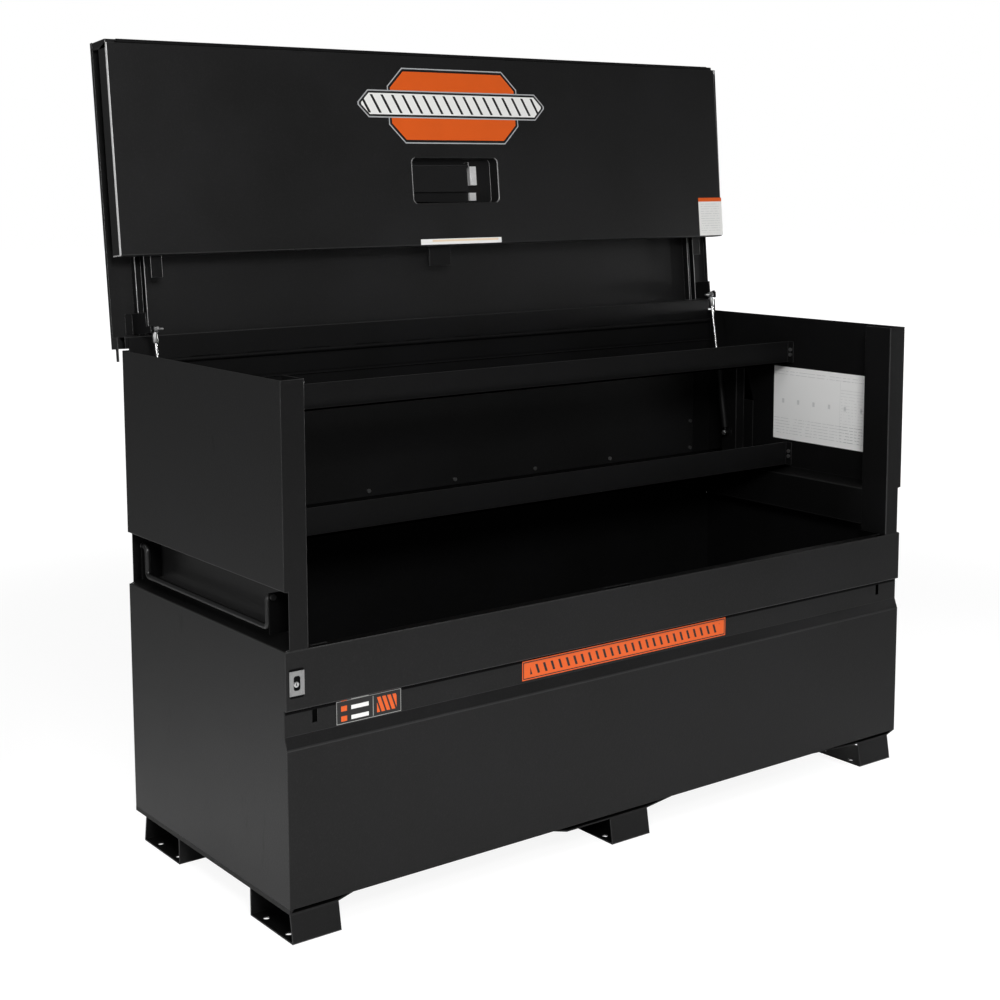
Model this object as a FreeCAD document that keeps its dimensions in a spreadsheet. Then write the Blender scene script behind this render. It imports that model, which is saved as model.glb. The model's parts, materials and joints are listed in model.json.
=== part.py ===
import FreeCAD, Part
import math
import os
import Sketcher

# Jobsite box: a steel chest on six feet, with an open front above a sill, two
# shelves, a lid that leans back and a front leaf that folds against the lid.
# Millimetres, +Z up, +X to the right, the front faces -Y.

Vector = FreeCAD.Vector
doc = FreeCAD.newDocument("JobsiteBox")
table = doc.addObject("Spreadsheet::Sheet", "Sizes")


class Size:
    """A length or angle as text for a binding, with its value beside it."""

    def __init__(self, text, value):
        self.text = text
        self.value = value

    def joined(self, sign, other, value):
        return Size("(%s %s %s)" % (self.text, sign, as_size(other).text), value)

    def __add__(self, other):
        return self.joined("+", other, self.value + as_size(other).value)

    def __sub__(self, other):
        return self.joined("-", other, self.value - as_size(other).value)

    def __mul__(self, other):
        return self.joined("*", other, self.value * as_size(other).value)

    def __truediv__(self, other):
        return self.joined("/", other, self.value / as_size(other).value)

    def __radd__(self, other):
        return as_size(other) + self

    def __rsub__(self, other):
        return as_size(other) - self

    def __rmul__(self, other):
        return as_size(other) * self

    def __neg__(self):
        return Size("(0 - %s)" % self.text, -self.value)


def as_size(value):
    if isinstance(value, Size):
        return value
    return Size("(%s)" % repr(value), value)


def sine(angle):
    return Size("sin(%s)" % angle.text, math.sin(math.radians(angle.value)))


def cosine(angle):
    return Size("cos(%s)" % angle.text, math.cos(math.radians(angle.value)))


def arctangent(ratio):
    return Size("(atan(%s) / 1 deg)" % ratio.text, math.degrees(math.atan(ratio.value)))


def root(area):
    return Size("sqrt(%s)" % area.text, math.sqrt(area.value))


row_count = 0


def size(alias, value, note):
    """Write one driving dimension into the sheet and return it."""
    global row_count
    row_count += 1
    table.set("A%d" % row_count, note)
    table.set("B%d" % row_count, str(value))
    table.setAlias("B%d" % row_count, alias)
    return Size("Sizes." + alias, float(value))


# Box shell
box_width = size("box_width", 1829, "outside width of the box")
box_depth = size("box_depth", 713, "outside depth of the box")
wall_sheet = size("wall_sheet", 2, "thickness of the folded steel sheet")
floor_height = size("floor_height", 70, "underside of the floor above the ground")
wall_top = size("wall_top", 1137, "top edge of the side and rear walls")
sill_height = size("sill_height", 600, "top of the front sill")
sill_return = size("sill_return", 25, "depth of the sill's inward return")
rebate_low = size("rebate_low", 399, "height where the front starts to slope in")
rebate_start = size("rebate_start", 424, "height where the front rebate is flat")
rebate_top = size("rebate_top", 478, "underside of the lip over the rebate")
rebate_deep = size("rebate_deep", 9.5, "depth of the front rebate")
drain_slot_inset = size("drain_slot_inset", 70.5, "rebate slot's centre to the box's side")
drain_slot_wide = size("drain_slot_wide", 12, "width of each rebate slot")
drain_slot_rise = size("drain_slot_rise", 19, "rebate slot above the rebate's slope")
drain_slot_drop = size("drain_slot_drop", 3, "rebate slot below the rebate's lip")
post_return = size("post_return", 83, "depth of the corner post's inner return")
cut_over = size("cut_over", 5, "how far a cut runs past the face it opens")

# Handle recess in both side walls
recess_low = size("recess_low", 600, "lower edge of the handle recess")
recess_rise = size("recess_rise", 17, "rise of the recess's sloped lower face")
recess_top = size("recess_top", 720, "upper edge of the handle recess")
recess_drop = size("recess_drop", 12, "drop of the recess's sloped upper face")
recess_deep = size("recess_deep", 50, "depth of the handle recess")
recess_edge = size("recess_edge", 10, "setback of the closed recess ends")

# Rails and feet
foot_height = size("foot_height", 60, "height of each foot")
foot_plate = size("foot_plate", 4, "thickness of the bent foot plate")
foot_width = size("foot_width", 114, "width of each foot")
foot_flare = size("foot_flare", 10.5, "outward flare of the foot's outer wall")
front_foot_long = size("front_foot_long", 166.5, "depth of a front foot at its top")
rear_foot_long = size("rear_foot_long", 169, "depth of a rear foot at its top")
rear_foot_inset = size("rear_foot_inset", 52.5, "rear foot's top to the rear face")
middle_foot_x = size("middle_foot_x", -16, "centre of the middle feet")
right_foot_inset = size("right_foot_inset", 27.5, "right feet to the right wall")
anchor_x = size("anchor_x", 80, "anchor hole spacing across a foot")
anchor_y = size("anchor_y", 92, "anchor hole spacing along a foot")
anchor_radius = size("anchor_radius", 7, "radius of an anchor hole")
rail_plate = size("rail_plate", 3, "thickness of the floor rails")
left_rail_flat = size("left_rail_flat", 111.5, "width of the left rail's flat base")
left_rail_slope = size("left_rail_slope", 37, "width of the left rail's sloped side")
mid_rail_x = size("mid_rail_x", -81, "centre of the middle rail's flat base")
mid_rail_flat = size("mid_rail_flat", 240, "width of the middle rail's flat base")
mid_rail_left = size("mid_rail_left", 37, "slope width left of the middle rail")
mid_rail_right = size("mid_rail_right", 78, "slope width right of the middle rail")
right_rail_flat = size("right_rail_flat", 106, "width of the right rail's flat base")
right_rail_outer = size("right_rail_outer", 29.5, "slope width at the right wall")
right_rail_inner = size("right_rail_inner", 173, "slope width left of the right rail")
rail_toe = size("rail_toe", 9, "level width of a rail's plate at the floor")

# Shelves
shelf_deep = size("shelf_deep", 311.5, "depth of the shelves from the rear face")
upper_shelf_low = size("upper_shelf_low", 1011, "underside of the upper shelf")
upper_lip = size("upper_lip", 58, "height of the upper shelf's lip")
lower_shelf_low = size("lower_shelf_low", 725, "underside of the lower shelf")
lower_lip = size("lower_lip", 64, "height of the lower shelf's lip")
shelf_tab = size("shelf_tab", 20, "width of the tabs that fix a shelf to the walls")
notch_width = size("notch_width", 72.5, "width of the shelf notch for a strut")
notch_deep = size("notch_deep", 154.5, "depth of the shelf notch for a strut")
back_panel_gap = size("back_panel_gap", 66.5, "panel behind the shelves to a side wall")
screw_radius = size("screw_radius", 5, "radius of a screw head")
screw_head = size("screw_head", 3, "height of a screw head")
screw_pitch = size("screw_pitch", 14, "spacing of the two screws in a shelf tab")
back_screw_rise = size("back_screw_rise", 14, "rear screws above the lower shelf")
back_screw_x = size("back_screw_x", 265, "spacing of the rear screws")
side_screw_rise = size("side_screw_rise", 78, "second rear side screw above the first")

# Bail handles
bail_radius = size("bail_radius", 6.5, "radius of the bail's round bar")
bail_setback = size("bail_setback", 9.5, "bail centre line inside the wall's face")
bail_span = size("bail_span", 550, "spacing of the bail's two arms")
bail_pivot_drop = size("bail_pivot_drop", 22, "bail's pivot below the recess's top")
bail_drop = size("bail_drop", 66, "bail bar below its pivot")
bail_bend = size("bail_bend", 12, "bend radius on the bail's centre line")
bail_pin = size("bail_pin", 12, "length of the bail's straight pivot end")
bracket_plate = size("bracket_plate", 3, "thickness of a bail bracket")
bracket_long = size("bracket_long", 55, "length of a bail bracket's base")
bracket_rise = size("bracket_rise", 22, "bail bracket above the recess's lower edge")
bracket_drop = size("bracket_drop", 14, "bail bracket below the recess's upper edge")
bracket_gap = size("bracket_gap", 2.5, "bail bend to the bracket's ear")
fit_gap = size("fit_gap", 0.05, "radial clearance of a turning fit")
part_gap = size("part_gap", 0.4, "clearance between faces that pass each other")

# Port plate at the left end of the sill band
port_inset = size("port_inset", 24.5, "centre of the port plate to the box's side")
port_rise = size("port_rise", 56, "port plate's centre above the rebate's lip")
port_width = size("port_width", 34, "width of the port plate")
port_height = size("port_height", 50, "height of the port plate")
port_thick = size("port_thick", 2, "thickness of the port plate")
port_window = size("port_window", 15, "width of the port plate's window")
port_window_tall = size("port_window_tall", 30, "height of the port plate's window")
port_window_corner = size("port_window_corner", 5, "corner radius of that window")
rivet_radius = size("rivet_radius", 2.5, "radius of a rivet head")
rivet_inset = size("rivet_inset", 5, "rivet centre to the plate's edge")
rivet_head = size("rivet_head", 1, "height of a rivet head")

# Rear hinge
hinge_setback = size("hinge_setback", 12.5, "lid hinge axis before the rear face")
hinge_drop = size("hinge_drop", 29, "lid hinge axis below the walls' top edge")
hinge_inset = size("hinge_inset", 14.5, "end of both long hinges to the box's side")
knuckle_count = size("knuckle_count", 12, "knuckles on each hinge leaf")
knuckle_gap = size("knuckle_gap", 0.6, "gap between neighbouring knuckles")
hinge_radius = size("hinge_radius", 5.5, "outer radius of the rear knuckles")
hinge_pin = size("hinge_pin", 3, "radius of the rear hinge pin")
hinge_plate = size("hinge_plate", 2.5, "thickness of the rear hinge leaves")
hinge_offset = size("hinge_offset", 3, "rear hinge leaf to the hinge axis")
hinge_leaf_gap = size("hinge_leaf_gap", 6.5, "leaf's edge to the hinge axis")
body_leaf_long = size("body_leaf_long", 43.5, "height of the hinge leaf on the box")
lid_leaf_long = size("lid_leaf_long", 50, "height of the hinge leaf on the lid")
header_high = size("header_high", 54, "height of the rear header")
header_drop = size("header_drop", 4, "header's top edge below the hinge axis")
pin_over = size("pin_over", 3, "how far a hinge pin stands past the knuckles")

# Lid, in its own frame: height along the lid from the hinge axis, and depth
# square to it, positive towards the rear
lid_lean = size("lid_lean", 5.5, "backward lean of the open lid in degrees")
lid_over = size("lid_over", 13.5, "lid and leaf past the box's side")
lid_front_over = size("lid_front_over", 20.5, "closed lid past the box's front face")
lid_low = size("lid_low", 33, "lower edge of the lid from the hinge axis")
lid_outer = size("lid_outer", 38, "outer face of the lid behind the axis")
lid_lip = size("lid_lip", 12, "depth of the lid's side lips")
ear_low = size("ear_low", 5, "lower end of the lid's corner ears")
ear_inner = size("ear_inner", 2, "inner edge of the lid's corner ears")
ear_width = size("ear_width", 12, "width of the lid's corner ears")
ear_top = size("ear_top", 60, "upper end of the lid's corner ears")
skirt_front = size("skirt_front", 36, "front of the lid's top beam before the axis")
skirt_thick = size("skirt_thick", 18, "height of the lid's top beam")
rail_inner = size("rail_inner", 5.5, "inner face of the lid's rear rail")
rail_height = size("rail_height", 27, "height of the lid's rear rail")
rail_side_gap = size("rail_side_gap", 4.5, "lid's rear rail to the side walls")
stiff_inset = size("stiff_inset", 61, "outer side of a lid stiffener to the lid's edge")
stiff_wide = size("stiff_wide", 25, "width of a lid stiffener")
stiff_deep = size("stiff_deep", 20, "depth of a lid stiffener")
stiff_rise = size("stiff_rise", 29, "lid stiffener above the lid's lower edge")
stiff_drop = size("stiff_drop", 121, "lid stiffener below the lid's top edge")

# Gas struts
strut_gap = size("strut_gap", 19, "strut centre line to the wall channel's face")
strut_setback = size("strut_setback", 123.5, "lower strut pivot before the rear face")
strut_foot_rise = size("strut_foot_rise", 73, "lower strut pivot above the lower shelf")
strut_lid_high = size("strut_lid_high", 73.4, "upper strut pivot along the lid")
strut_lid_front = size("strut_lid_front", 51.3, "upper strut pivot before the axis")
eye_radius = size("eye_radius", 8, "outer radius of a strut's eye")
eye_thick = size("eye_thick", 8, "thickness of a strut's eye")
stud_radius = size("stud_radius", 4, "radius of the studs in the strut's eyes")
stud_over = size("stud_over", 1, "how far the lower stud stands past the eye")
tube_radius = size("tube_radius", 9, "outer radius of a strut's tube")
tube_bore = size("tube_bore", 7.8, "inner radius of a strut's tube")
tube_start = size("tube_start", 14, "strut tube's lower end from its pivot")
tube_long = size("tube_long", 215, "length of a strut's tube")
tube_end = size("tube_end", 6, "thickness of the tube's two ends")
rod_radius = size("rod_radius", 3.5, "radius of a strut's rod")
piston_start = size("piston_start", 188, "strut piston's lower face from the pivot")
piston_thick = size("piston_thick", 10, "thickness of a strut's piston")
channel_deep = size("channel_deep", 32.5, "depth of a wall channel off the side wall")
channel_before = size("channel_before", 21, "wall channel before the lower strut pivot")
channel_behind = size("channel_behind", 34, "wall channel behind the lower strut pivot")
channel_drop = size("channel_drop", 11, "wall channel below the upper shelf")
channel_foot = size("channel_foot", 37, "width of the wall channel's side flange")
channel_foot_drop = size("channel_foot_drop", 109, "that flange below the channel's top")
lid_plate_gap = size("lid_plate_gap", 10, "lid's strut plate to the strut's centre line")
lid_plate_thick = size("lid_plate_thick", 3, "thickness of the lid's strut plate")
lid_plate_below = size("lid_plate_below", 9.4, "lid's strut plate below the strut pivot")
lid_plate_above = size("lid_plate_above", 38.6, "lid's strut plate above the strut pivot")
lid_plate_front = size("lid_plate_front", 37, "front edge of the lid's strut plate")
lid_plate_foot = size("lid_plate_foot", 18, "flange of the lid's strut plate")

# Front leaf, in the lid's frame
leaf_stand = size("leaf_stand", 9, "outer face of the leaf before the beam's front")
leaf_low = size("leaf_low", 239, "lower edge of the folded leaf")
leaf_top_gap = size("leaf_top_gap", 9, "leaf's edge below the top of the lid")
leaf_side = size("leaf_side", 38, "depth of the leaf's side flanges")
leaf_side_drop = size("leaf_side_drop", 11, "leaf's side flanges below its top edge")
leaf_lip = size("leaf_lip", 17, "depth of the leaf's lower flange")
leaf_hinge_radius = size("leaf_hinge_radius", 4.5, "outer radius of the leaf's knuckles")
leaf_pin_radius = size("leaf_pin_radius", 2, "radius of the leaf's hinge pin")
leaf_hinge_long = size("leaf_hinge_long", 40, "height of the hinge leaf on the leaf")
leaf_hinge_gap = size("leaf_hinge_gap", 5.4, "leaf hinge plates to their axis")

# Latch in the leaf
cup_half = size("cup_half", 132, "half width of the latch cup")
cup_rise = size("cup_rise", 108, "latch cup above the leaf's lower edge")
cup_tall = size("cup_tall", 112, "height of the latch cup")
cup_deep = size("cup_deep", 33, "depth of the latch cup")
cup_wall = size("cup_wall", 2, "wall of the latch cup")
cup_corner = size("cup_corner", 12, "corner radius of the latch cup")
handle_gap = size("handle_gap", 6, "latch handle to the cup's left side")
lock_gap = size("lock_gap", 9, "latch handle to the lock plate")
handle_rise = size("handle_rise", 29, "latch handle above the cup's lower side")
handle_thick = size("handle_thick", 3, "thickness of the latch handle")
handle_axis_drop = size("handle_axis_drop", 16, "latch handle's axis below the cup's top")
handle_axis_deep = size("handle_axis_deep", 21.5, "latch handle's axis behind the leaf's face")
handle_barrel = size("handle_barrel", 4, "radius of the latch handle's barrel")
handle_pin = size("handle_pin", 2, "radius of the latch handle's pin")
lug_thick = size("lug_thick", 3, "thickness of the latch cup's lugs")
lug_half = size("lug_half", 7, "half height of the latch cup's lugs")
lock_inset = size("lock_inset", 73, "lock plate's left side to the cup's right side")
lock_wide = size("lock_wide", 20, "width of the lock plate")
lock_rise = size("lock_rise", 45, "lock plate above the cup's lower side")
lock_tall = size("lock_tall", 48, "height of the lock plate")
lock_deep = size("lock_deep", 12, "height of the lock plate off the cup's back")
keeper_rise = size("keeper_rise", 6, "lock's keeper above the cup's lower side")
keeper_tall = size("keeper_tall", 20, "height of the lock's keeper")
catch_x = size("catch_x", -44.5, "centre of the catch")
catch_wide = size("catch_wide", 65, "width of the catch")
catch_thick = size("catch_thick", 3.7, "thickness of the catch")
catch_deep = size("catch_deep", 29, "front face of the catch behind the leaf's face")
catch_drop = size("catch_drop", 49, "catch and hooks below the leaf's lower edge")
catch_rise = size("catch_rise", 86, "upper end of the catch above that edge")
guide_rise = size("guide_rise", 13, "catch guide above the leaf's lower edge")
guide_tall = size("guide_tall", 48, "height of the catch guide")
guide_wall = size("guide_wall", 3, "wall of the catch guide")
hook_left_inset = size("hook_left_inset", 100, "left hook's centre to the leaf's edge")
hook_right_inset = size("hook_right_inset", 80, "right hook's centre to the leaf's edge")
hook_wide = size("hook_wide", 28, "width of a hook")
hook_thick = size("hook_thick", 3, "thickness of a hook")
hook_base = size("hook_base", 44, "height of a hook's base")
hook_rise = size("hook_rise", 18, "hook's web above the leaf's lower edge")
keeper_gap = size("keeper_gap", 5, "sill slot around a hook or the catch")

# Thin plates and labels
label_thick = size("label_thick", 0.5, "thickness of a label")
strip_left = size("strip_left", -320, "left end of the accent strip")
strip_long = size("strip_long", 616, "length of the accent strip")
strip_rise = size("strip_rise", 5, "accent strip above the rebate's slope")
strip_high = size("strip_high", 43.5, "height of the accent strip")
tag_inset = size("tag_inset", 119.5, "left end of the front tag to the box's side")
tag_long = size("tag_long", 158, "length of the front tag")
tag_rise = size("tag_rise", 1, "front tag above the rebate's slope")
tag_high = size("tag_high", 50, "height of the front tag")
card_setback = size("card_setback", 122.5, "wall card behind the front face")
card_long = size("card_long", 330, "length of the wall card")
card_low = size("card_low", 796, "lower edge of the wall card")
card_high = size("card_high", 202, "height of the wall card")
badge_left = size("badge_left", -282, "left end of the leaf's badge")
badge_long = size("badge_long", 579, "length of the leaf's badge")
badge_drop = size("badge_drop", 30, "leaf's badge below the leaf's top edge")
badge_high = size("badge_high", 187, "height of the leaf's badge")
edge_left = size("edge_left", -120, "left end of the leaf's edge strip")
edge_long = size("edge_long", 252, "length of the leaf's edge strip")
edge_rise = size("edge_rise", 3, "edge strip above the leaf's lower edge")
edge_high = size("edge_high", 14, "height of the leaf's edge strip")
corner_long = size("corner_long", 90, "length of the leaf's corner tag")
corner_rise = size("corner_rise", 3, "corner tag above the leaf's lower edge")
corner_high = size("corner_high", 107, "height of the leaf's corner tag")

# Places that several pieces share
half_width = box_width / 2
half_depth = box_depth / 2
inner_half = half_width - wall_sheet
inner_front = -half_depth + wall_sheet
inner_rear = half_depth - wall_sheet
post_inner = half_width - recess_deep - 2 * wall_sheet
rebate_y = -half_depth + rebate_deep
rail_low = foot_height
drain_slot_x = half_width - drain_slot_inset
shelf_front = half_depth - shelf_deep
back_panel_half = inner_half - back_panel_gap
bail_pivot_z = recess_top - bail_pivot_drop
bracket_low = recess_low + bracket_rise
bracket_high = recess_top - bracket_drop
port_x = -half_width + port_inset
port_z = rebate_top + port_rise
hinge_y = half_depth - hinge_setback
hinge_z = wall_top - hinge_drop
hinge_length = box_width - 2 * hinge_inset
lid_half = half_width + lid_over
lid_height = hinge_y + half_depth + lid_front_over
stiff_inner = lid_half - stiff_inset - stiff_wide
channel_face = inner_half - channel_deep
strut_x = channel_face - strut_gap
strut_low_y = half_depth - strut_setback
strut_low_z = lower_shelf_low + strut_foot_rise
channel_front = strut_low_y - channel_before
channel_rear = strut_low_y + channel_behind
channel_top = upper_shelf_low - channel_drop
lid_plate_x = strut_x + lid_plate_gap
lid_plate_low = strut_lid_high - lid_plate_below
lid_plate_high = strut_lid_high + lid_plate_above
leaf_outer = skirt_front + leaf_stand
leaf_top = lid_height - leaf_top_gap
leaf_inner = -leaf_outer + wall_sheet
lid_inner = lid_outer - wall_sheet
leaf_axis_high = lid_height - leaf_hinge_radius
leaf_axis_deep = -leaf_outer + leaf_hinge_radius
cup_low = leaf_low + cup_rise
cup_high = cup_low + cup_tall
lock_left = cup_half - lock_inset
lock_low = cup_low + lock_rise
lock_high = lock_low + lock_tall
handle_left = -cup_half + handle_gap
handle_right = lock_left - lock_gap
handle_low = cup_low + handle_rise
handle_axis_high = cup_high - handle_axis_drop
handle_axis_front = leaf_outer - handle_axis_deep
catch_front = leaf_outer - catch_deep
catch_low = leaf_low - catch_drop
guide_low = leaf_low + guide_rise
guide_high = guide_low + guide_tall
hook_left_x = -lid_half + hook_left_inset
hook_right_x = lid_half - hook_right_inset
hook_web = leaf_low + hook_rise
knuckle_pitch = hinge_length / (2 * knuckle_count)
lean_sine = sine(lid_lean)
lean_cosine = cosine(lid_lean)
strut_top_y = hinge_y + strut_lid_high * lean_sine - strut_lid_front * lean_cosine
strut_top_z = hinge_z + strut_lid_high * lean_cosine + strut_lid_front * lean_sine
strut_rise = strut_top_z - strut_low_z
strut_run = strut_top_y - strut_low_y
strut_lean = arctangent(strut_run / strut_rise)
strut_long = root(strut_run * strut_run + strut_rise * strut_rise)
rear_most = hinge_y + lid_height * lean_sine + lid_outer * lean_cosine
front_most = -half_depth - foot_flare
middle_y = (rear_most + front_most) / 2


def bind(thing, path, value):
    thing.setExpression(path, as_size(value).text)


def piece(name):
    body = doc.addObject("PartDesign::Body", name)
    body.Label = name
    body.AllowCompound = True
    return body


def place(body, y, z, lean):
    """Place a body: its origin at y and z, leaning back about X."""
    body.Placement = FreeCAD.Placement(Vector(0, 0, 0), FreeCAD.Rotation(Vector(1, 0, 0), 1))
    bind(body, "Placement.Rotation.Axis.x", 1)
    bind(body, "Placement.Rotation.Axis.y", 0)
    bind(body, "Placement.Rotation.Axis.z", 0)
    bind(body, "Placement.Rotation.Angle", -as_size(lean))
    bind(body, "Placement.Base.y", as_size(y) - middle_y)
    bind(body, "Placement.Base.z", z)


def box_piece(name):
    body = piece(name)
    bind(body, "Placement.Base.y", -middle_y)
    return body


def lid_piece(name):
    body = piece(name)
    place(body, hinge_y, hinge_z, lid_lean)
    return body


def strut_piece(name):
    body = piece(name)
    place(body, strut_low_y, strut_low_z, strut_lean)
    return body


def block(body, x_range, y_range, z_range, cut=False):
    kind = "PartDesign::SubtractiveBox" if cut else "PartDesign::AdditiveBox"
    solid = body.newObject(kind, "block")
    ranges = (("x", "Length", x_range), ("y", "Width", y_range), ("z", "Height", z_range))
    for axis, length, (low, high) in ranges:
        bind(solid, "Placement.Base." + axis, low)
        bind(solid, length, as_size(high) - low)
    return solid


def rod(body, axis, along, centre, radius, cut=False):
    """Round bar along an axis; centre holds the two other coordinates."""
    kind = "PartDesign::SubtractiveCylinder" if cut else "PartDesign::AdditiveCylinder"
    solid = body.newObject(kind, "rod")
    turns = {
        "x": FreeCAD.Rotation(Vector(0, 1, 0), 90),
        "y": FreeCAD.Rotation(Vector(1, 0, 0), -90),
        "z": FreeCAD.Rotation(),
    }
    solid.Placement = FreeCAD.Placement(Vector(0, 0, 0), turns[axis])
    others = [name for name in "xyz" if name != axis]
    bind(solid, "Placement.Base." + axis, along[0])
    bind(solid, "Placement.Base." + others[0], centre[0])
    bind(solid, "Placement.Base." + others[1], centre[1])
    bind(solid, "Height", as_size(along[1]) - along[0])
    bind(solid, "Radius", radius)
    return solid


def outline(body, plane, points, offset):
    """Closed outline of straight lines, every corner bound to its sizes."""
    sketch = body.newObject("Sketcher::SketchObject", "outline")
    support = [item for item in body.Origin.OriginFeatures if item.Role == plane][0]
    sketch.AttachmentSupport = [(support, "")]
    sketch.MapMode = "FlatFace"
    bind(sketch, "AttachmentOffset.Base.z", offset)
    places = [(as_size(across), as_size(up)) for across, up in points]
    count = len(places)
    corners = [Vector(across.value, up.value, 0) for across, up in places]
    for index in range(count):
        line = Part.LineSegment(corners[index], corners[(index + 1) % count])
        sketch.addGeometry(line, False)
    for index in range(count):
        sketch.addConstraint(Sketcher.Constraint("Coincident", index, 2, (index + 1) % count, 1))
    for index, (across, up) in enumerate(places):
        for kind, value in (("DistanceX", across), ("DistanceY", up)):
            number = sketch.addConstraint(Sketcher.Constraint(kind, -1, 1, index, 1, value.value))
            sketch.setExpression("Constraints[%d]" % number, value.text)
    return sketch


def fold_along_x(body, points, x_range):
    """Folded sheet: a section in Y and Z, pulled along X."""
    sketch = outline(body, "YZ_Plane", points, x_range[0])
    pad = body.newObject("PartDesign::Pad", "fold")
    pad.Profile = sketch
    bind(pad, "Length", as_size(x_range[1]) - x_range[0])
    return pad


def fold_along_y(body, points, y_range):
    """Folded sheet: a section in X and Z, pulled along Y."""
    sketch = outline(body, "XZ_Plane", points, -as_size(y_range[1]))
    pad = body.newObject("PartDesign::Pad", "fold")
    pad.Profile = sketch
    bind(pad, "Length", as_size(y_range[1]) - y_range[0])
    return pad


def notch_along_x(body, points, x_range):
    sketch = outline(body, "YZ_Plane", points, x_range[1])
    pocket = body.newObject("PartDesign::Pocket", "notch")
    pocket.Profile = sketch
    bind(pocket, "Length", as_size(x_range[1]) - x_range[0])
    return pocket


def soft_block(body, x_range, y_range, z_range, radius, cut=False):
    """Block whose four corners, seen along Y, are round."""
    block(body, (x_range[0] + radius, x_range[1] - radius), y_range, z_range, cut)
    block(body, x_range, y_range, (z_range[0] + radius, z_range[1] - radius), cut)
    for x in (x_range[0] + radius, x_range[1] - radius):
        for z in (z_range[0] + radius, z_range[1] - radius):
            rod(body, "y", y_range, (x, z), radius, cut)


def sided(side, low, high):
    """Range on the right side, or its mirror image on the left."""
    if side > 0:
        return (as_size(low), as_size(high))
    return (-as_size(high), -as_size(low))


def knuckles(body, start, web_y, web_z, axis, radius, pin_radius):
    """Every second knuckle along a long hinge, joined by webs and bored for the pin."""
    for index in range(int(knuckle_count.value)):
        near = start + 2 * index * knuckle_pitch
        along = (near, near + knuckle_pitch - knuckle_gap)
        block(body, along, web_y, web_z)
        rod(body, "x", along, axis, radius)
    half = hinge_length / 2
    rod(body, "x", (-half - cut_over, half + cut_over), axis, pin_radius + fit_gap, cut=True)


def make_floor():
    body = box_piece("floor_pan")
    block(body, (-inner_half, inner_half), (inner_front, inner_rear),
          (floor_height, floor_height + wall_sheet))


def make_front():
    body = box_piece("front_panel")
    outer = -half_depth
    section = [
        (outer, floor_height),
        (outer, rebate_low),
        (rebate_y, rebate_start),
        (rebate_y, rebate_top),
        (outer, rebate_top),
        (outer, sill_height),
        (outer + sill_return, sill_height),
        (outer + sill_return, sill_height - wall_sheet),
        (inner_front, sill_height - wall_sheet),
        (inner_front, rebate_top + wall_sheet),
        (rebate_y + wall_sheet, rebate_top + wall_sheet),
        (rebate_y + wall_sheet, rebate_start),
        (inner_front, rebate_low),
        (inner_front, floor_height),
    ]
    fold_along_x(body, section, (-half_width, half_width))
    for side in (-1, 1):
        block(body, sided(side, post_inner, half_width + cut_over),
              (inner_front, -half_depth + sill_return + cut_over),
              (sill_height - 2 * wall_sheet, sill_height + cut_over), cut=True)
        middle = side * drain_slot_x
        block(body, (middle - drain_slot_wide / 2, middle + drain_slot_wide / 2),
              (rebate_y - cut_over, rebate_y + wall_sheet + cut_over),
              (rebate_start + drain_slot_rise, rebate_top - drain_slot_drop), cut=True)
    hook_y = catch_front - leaf_outer
    closed_face = hinge_y - lid_height
    slots = ((hook_left_x, hook_wide), (catch_x, catch_wide), (hook_right_x, hook_wide))
    for middle, wide in slots:
        reach = wide / 2 + keeper_gap
        block(body, (middle - reach, middle + reach),
              (closed_face - hook_y - keeper_gap, closed_face - hook_y + catch_thick + keeper_gap),
              (sill_height - 2 * wall_sheet, sill_height + cut_over), cut=True)


def make_rear():
    body = box_piece("rear_panel")
    block(body, (-half_width, half_width), (inner_rear, half_depth), (floor_height, wall_top))
    for side in (-1, 1):
        block(body, sided(side, half_width - recess_edge, half_width + cut_over),
              (inner_rear - cut_over, half_depth + cut_over), (recess_low, recess_top), cut=True)


def make_side(side, name):
    body = box_piece(name)
    deep = half_width - recess_deep
    section = [
        (half_width, floor_height),
        (half_width, recess_low),
        (deep, recess_low + recess_rise),
        (deep, recess_top - recess_drop),
        (half_width, recess_top),
        (half_width, wall_top),
        (inner_half, wall_top),
        (inner_half, recess_top + wall_sheet),
        (deep - wall_sheet, recess_top - recess_drop + wall_sheet),
        (deep - wall_sheet, recess_low + recess_rise - wall_sheet),
        (inner_half, recess_low - wall_sheet),
        (inner_half, floor_height),
    ]
    section = [(side * across, up) for across, up in section]
    fold_along_y(body, section, (inner_front, inner_rear))
    front_edge = [
        (inner_front - cut_over, rebate_low),
        (inner_front, rebate_low),
        (rebate_y + wall_sheet, rebate_start),
        (rebate_y + wall_sheet, rebate_top + wall_sheet),
        (inner_front - cut_over, rebate_top + wall_sheet),
    ]
    notch_along_x(body, front_edge, sided(side, deep - cut_over, half_width + cut_over))


def make_post(side, name):
    body = box_piece(name)
    block(body, sided(side, post_inner, half_width), (-half_depth, inner_front),
          (sill_height, wall_top))
    block(body, sided(side, post_inner, post_inner + wall_sheet),
          (inner_front, -half_depth + post_return), (sill_height, wall_top))
    block(body, sided(side, half_width - recess_edge, half_width + cut_over),
          (-half_depth - cut_over, inner_front + cut_over),
          (recess_low - cut_over, recess_top), cut=True)


def make_shelf(name, low, lip, notched):
    body = box_piece(name)
    high = low + lip
    section = [
        (shelf_front, low),
        (shelf_front, high),
        (shelf_front + wall_sheet, high),
        (shelf_front + wall_sheet, low + wall_sheet),
        (inner_rear, low + wall_sheet),
        (inner_rear, low),
    ]
    fold_along_x(body, section, (-inner_half, inner_half))
    for side in (-1, 1):
        block(body, sided(side, inner_half - wall_sheet, inner_half),
              (shelf_front - shelf_tab, shelf_front), (low, high))
        if notched:
            block(body, sided(side, inner_half - notch_width, inner_half + cut_over),
                  (inner_rear - notch_deep, inner_rear + cut_over),
                  (low - cut_over, low + wall_sheet + cut_over), cut=True)


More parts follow.
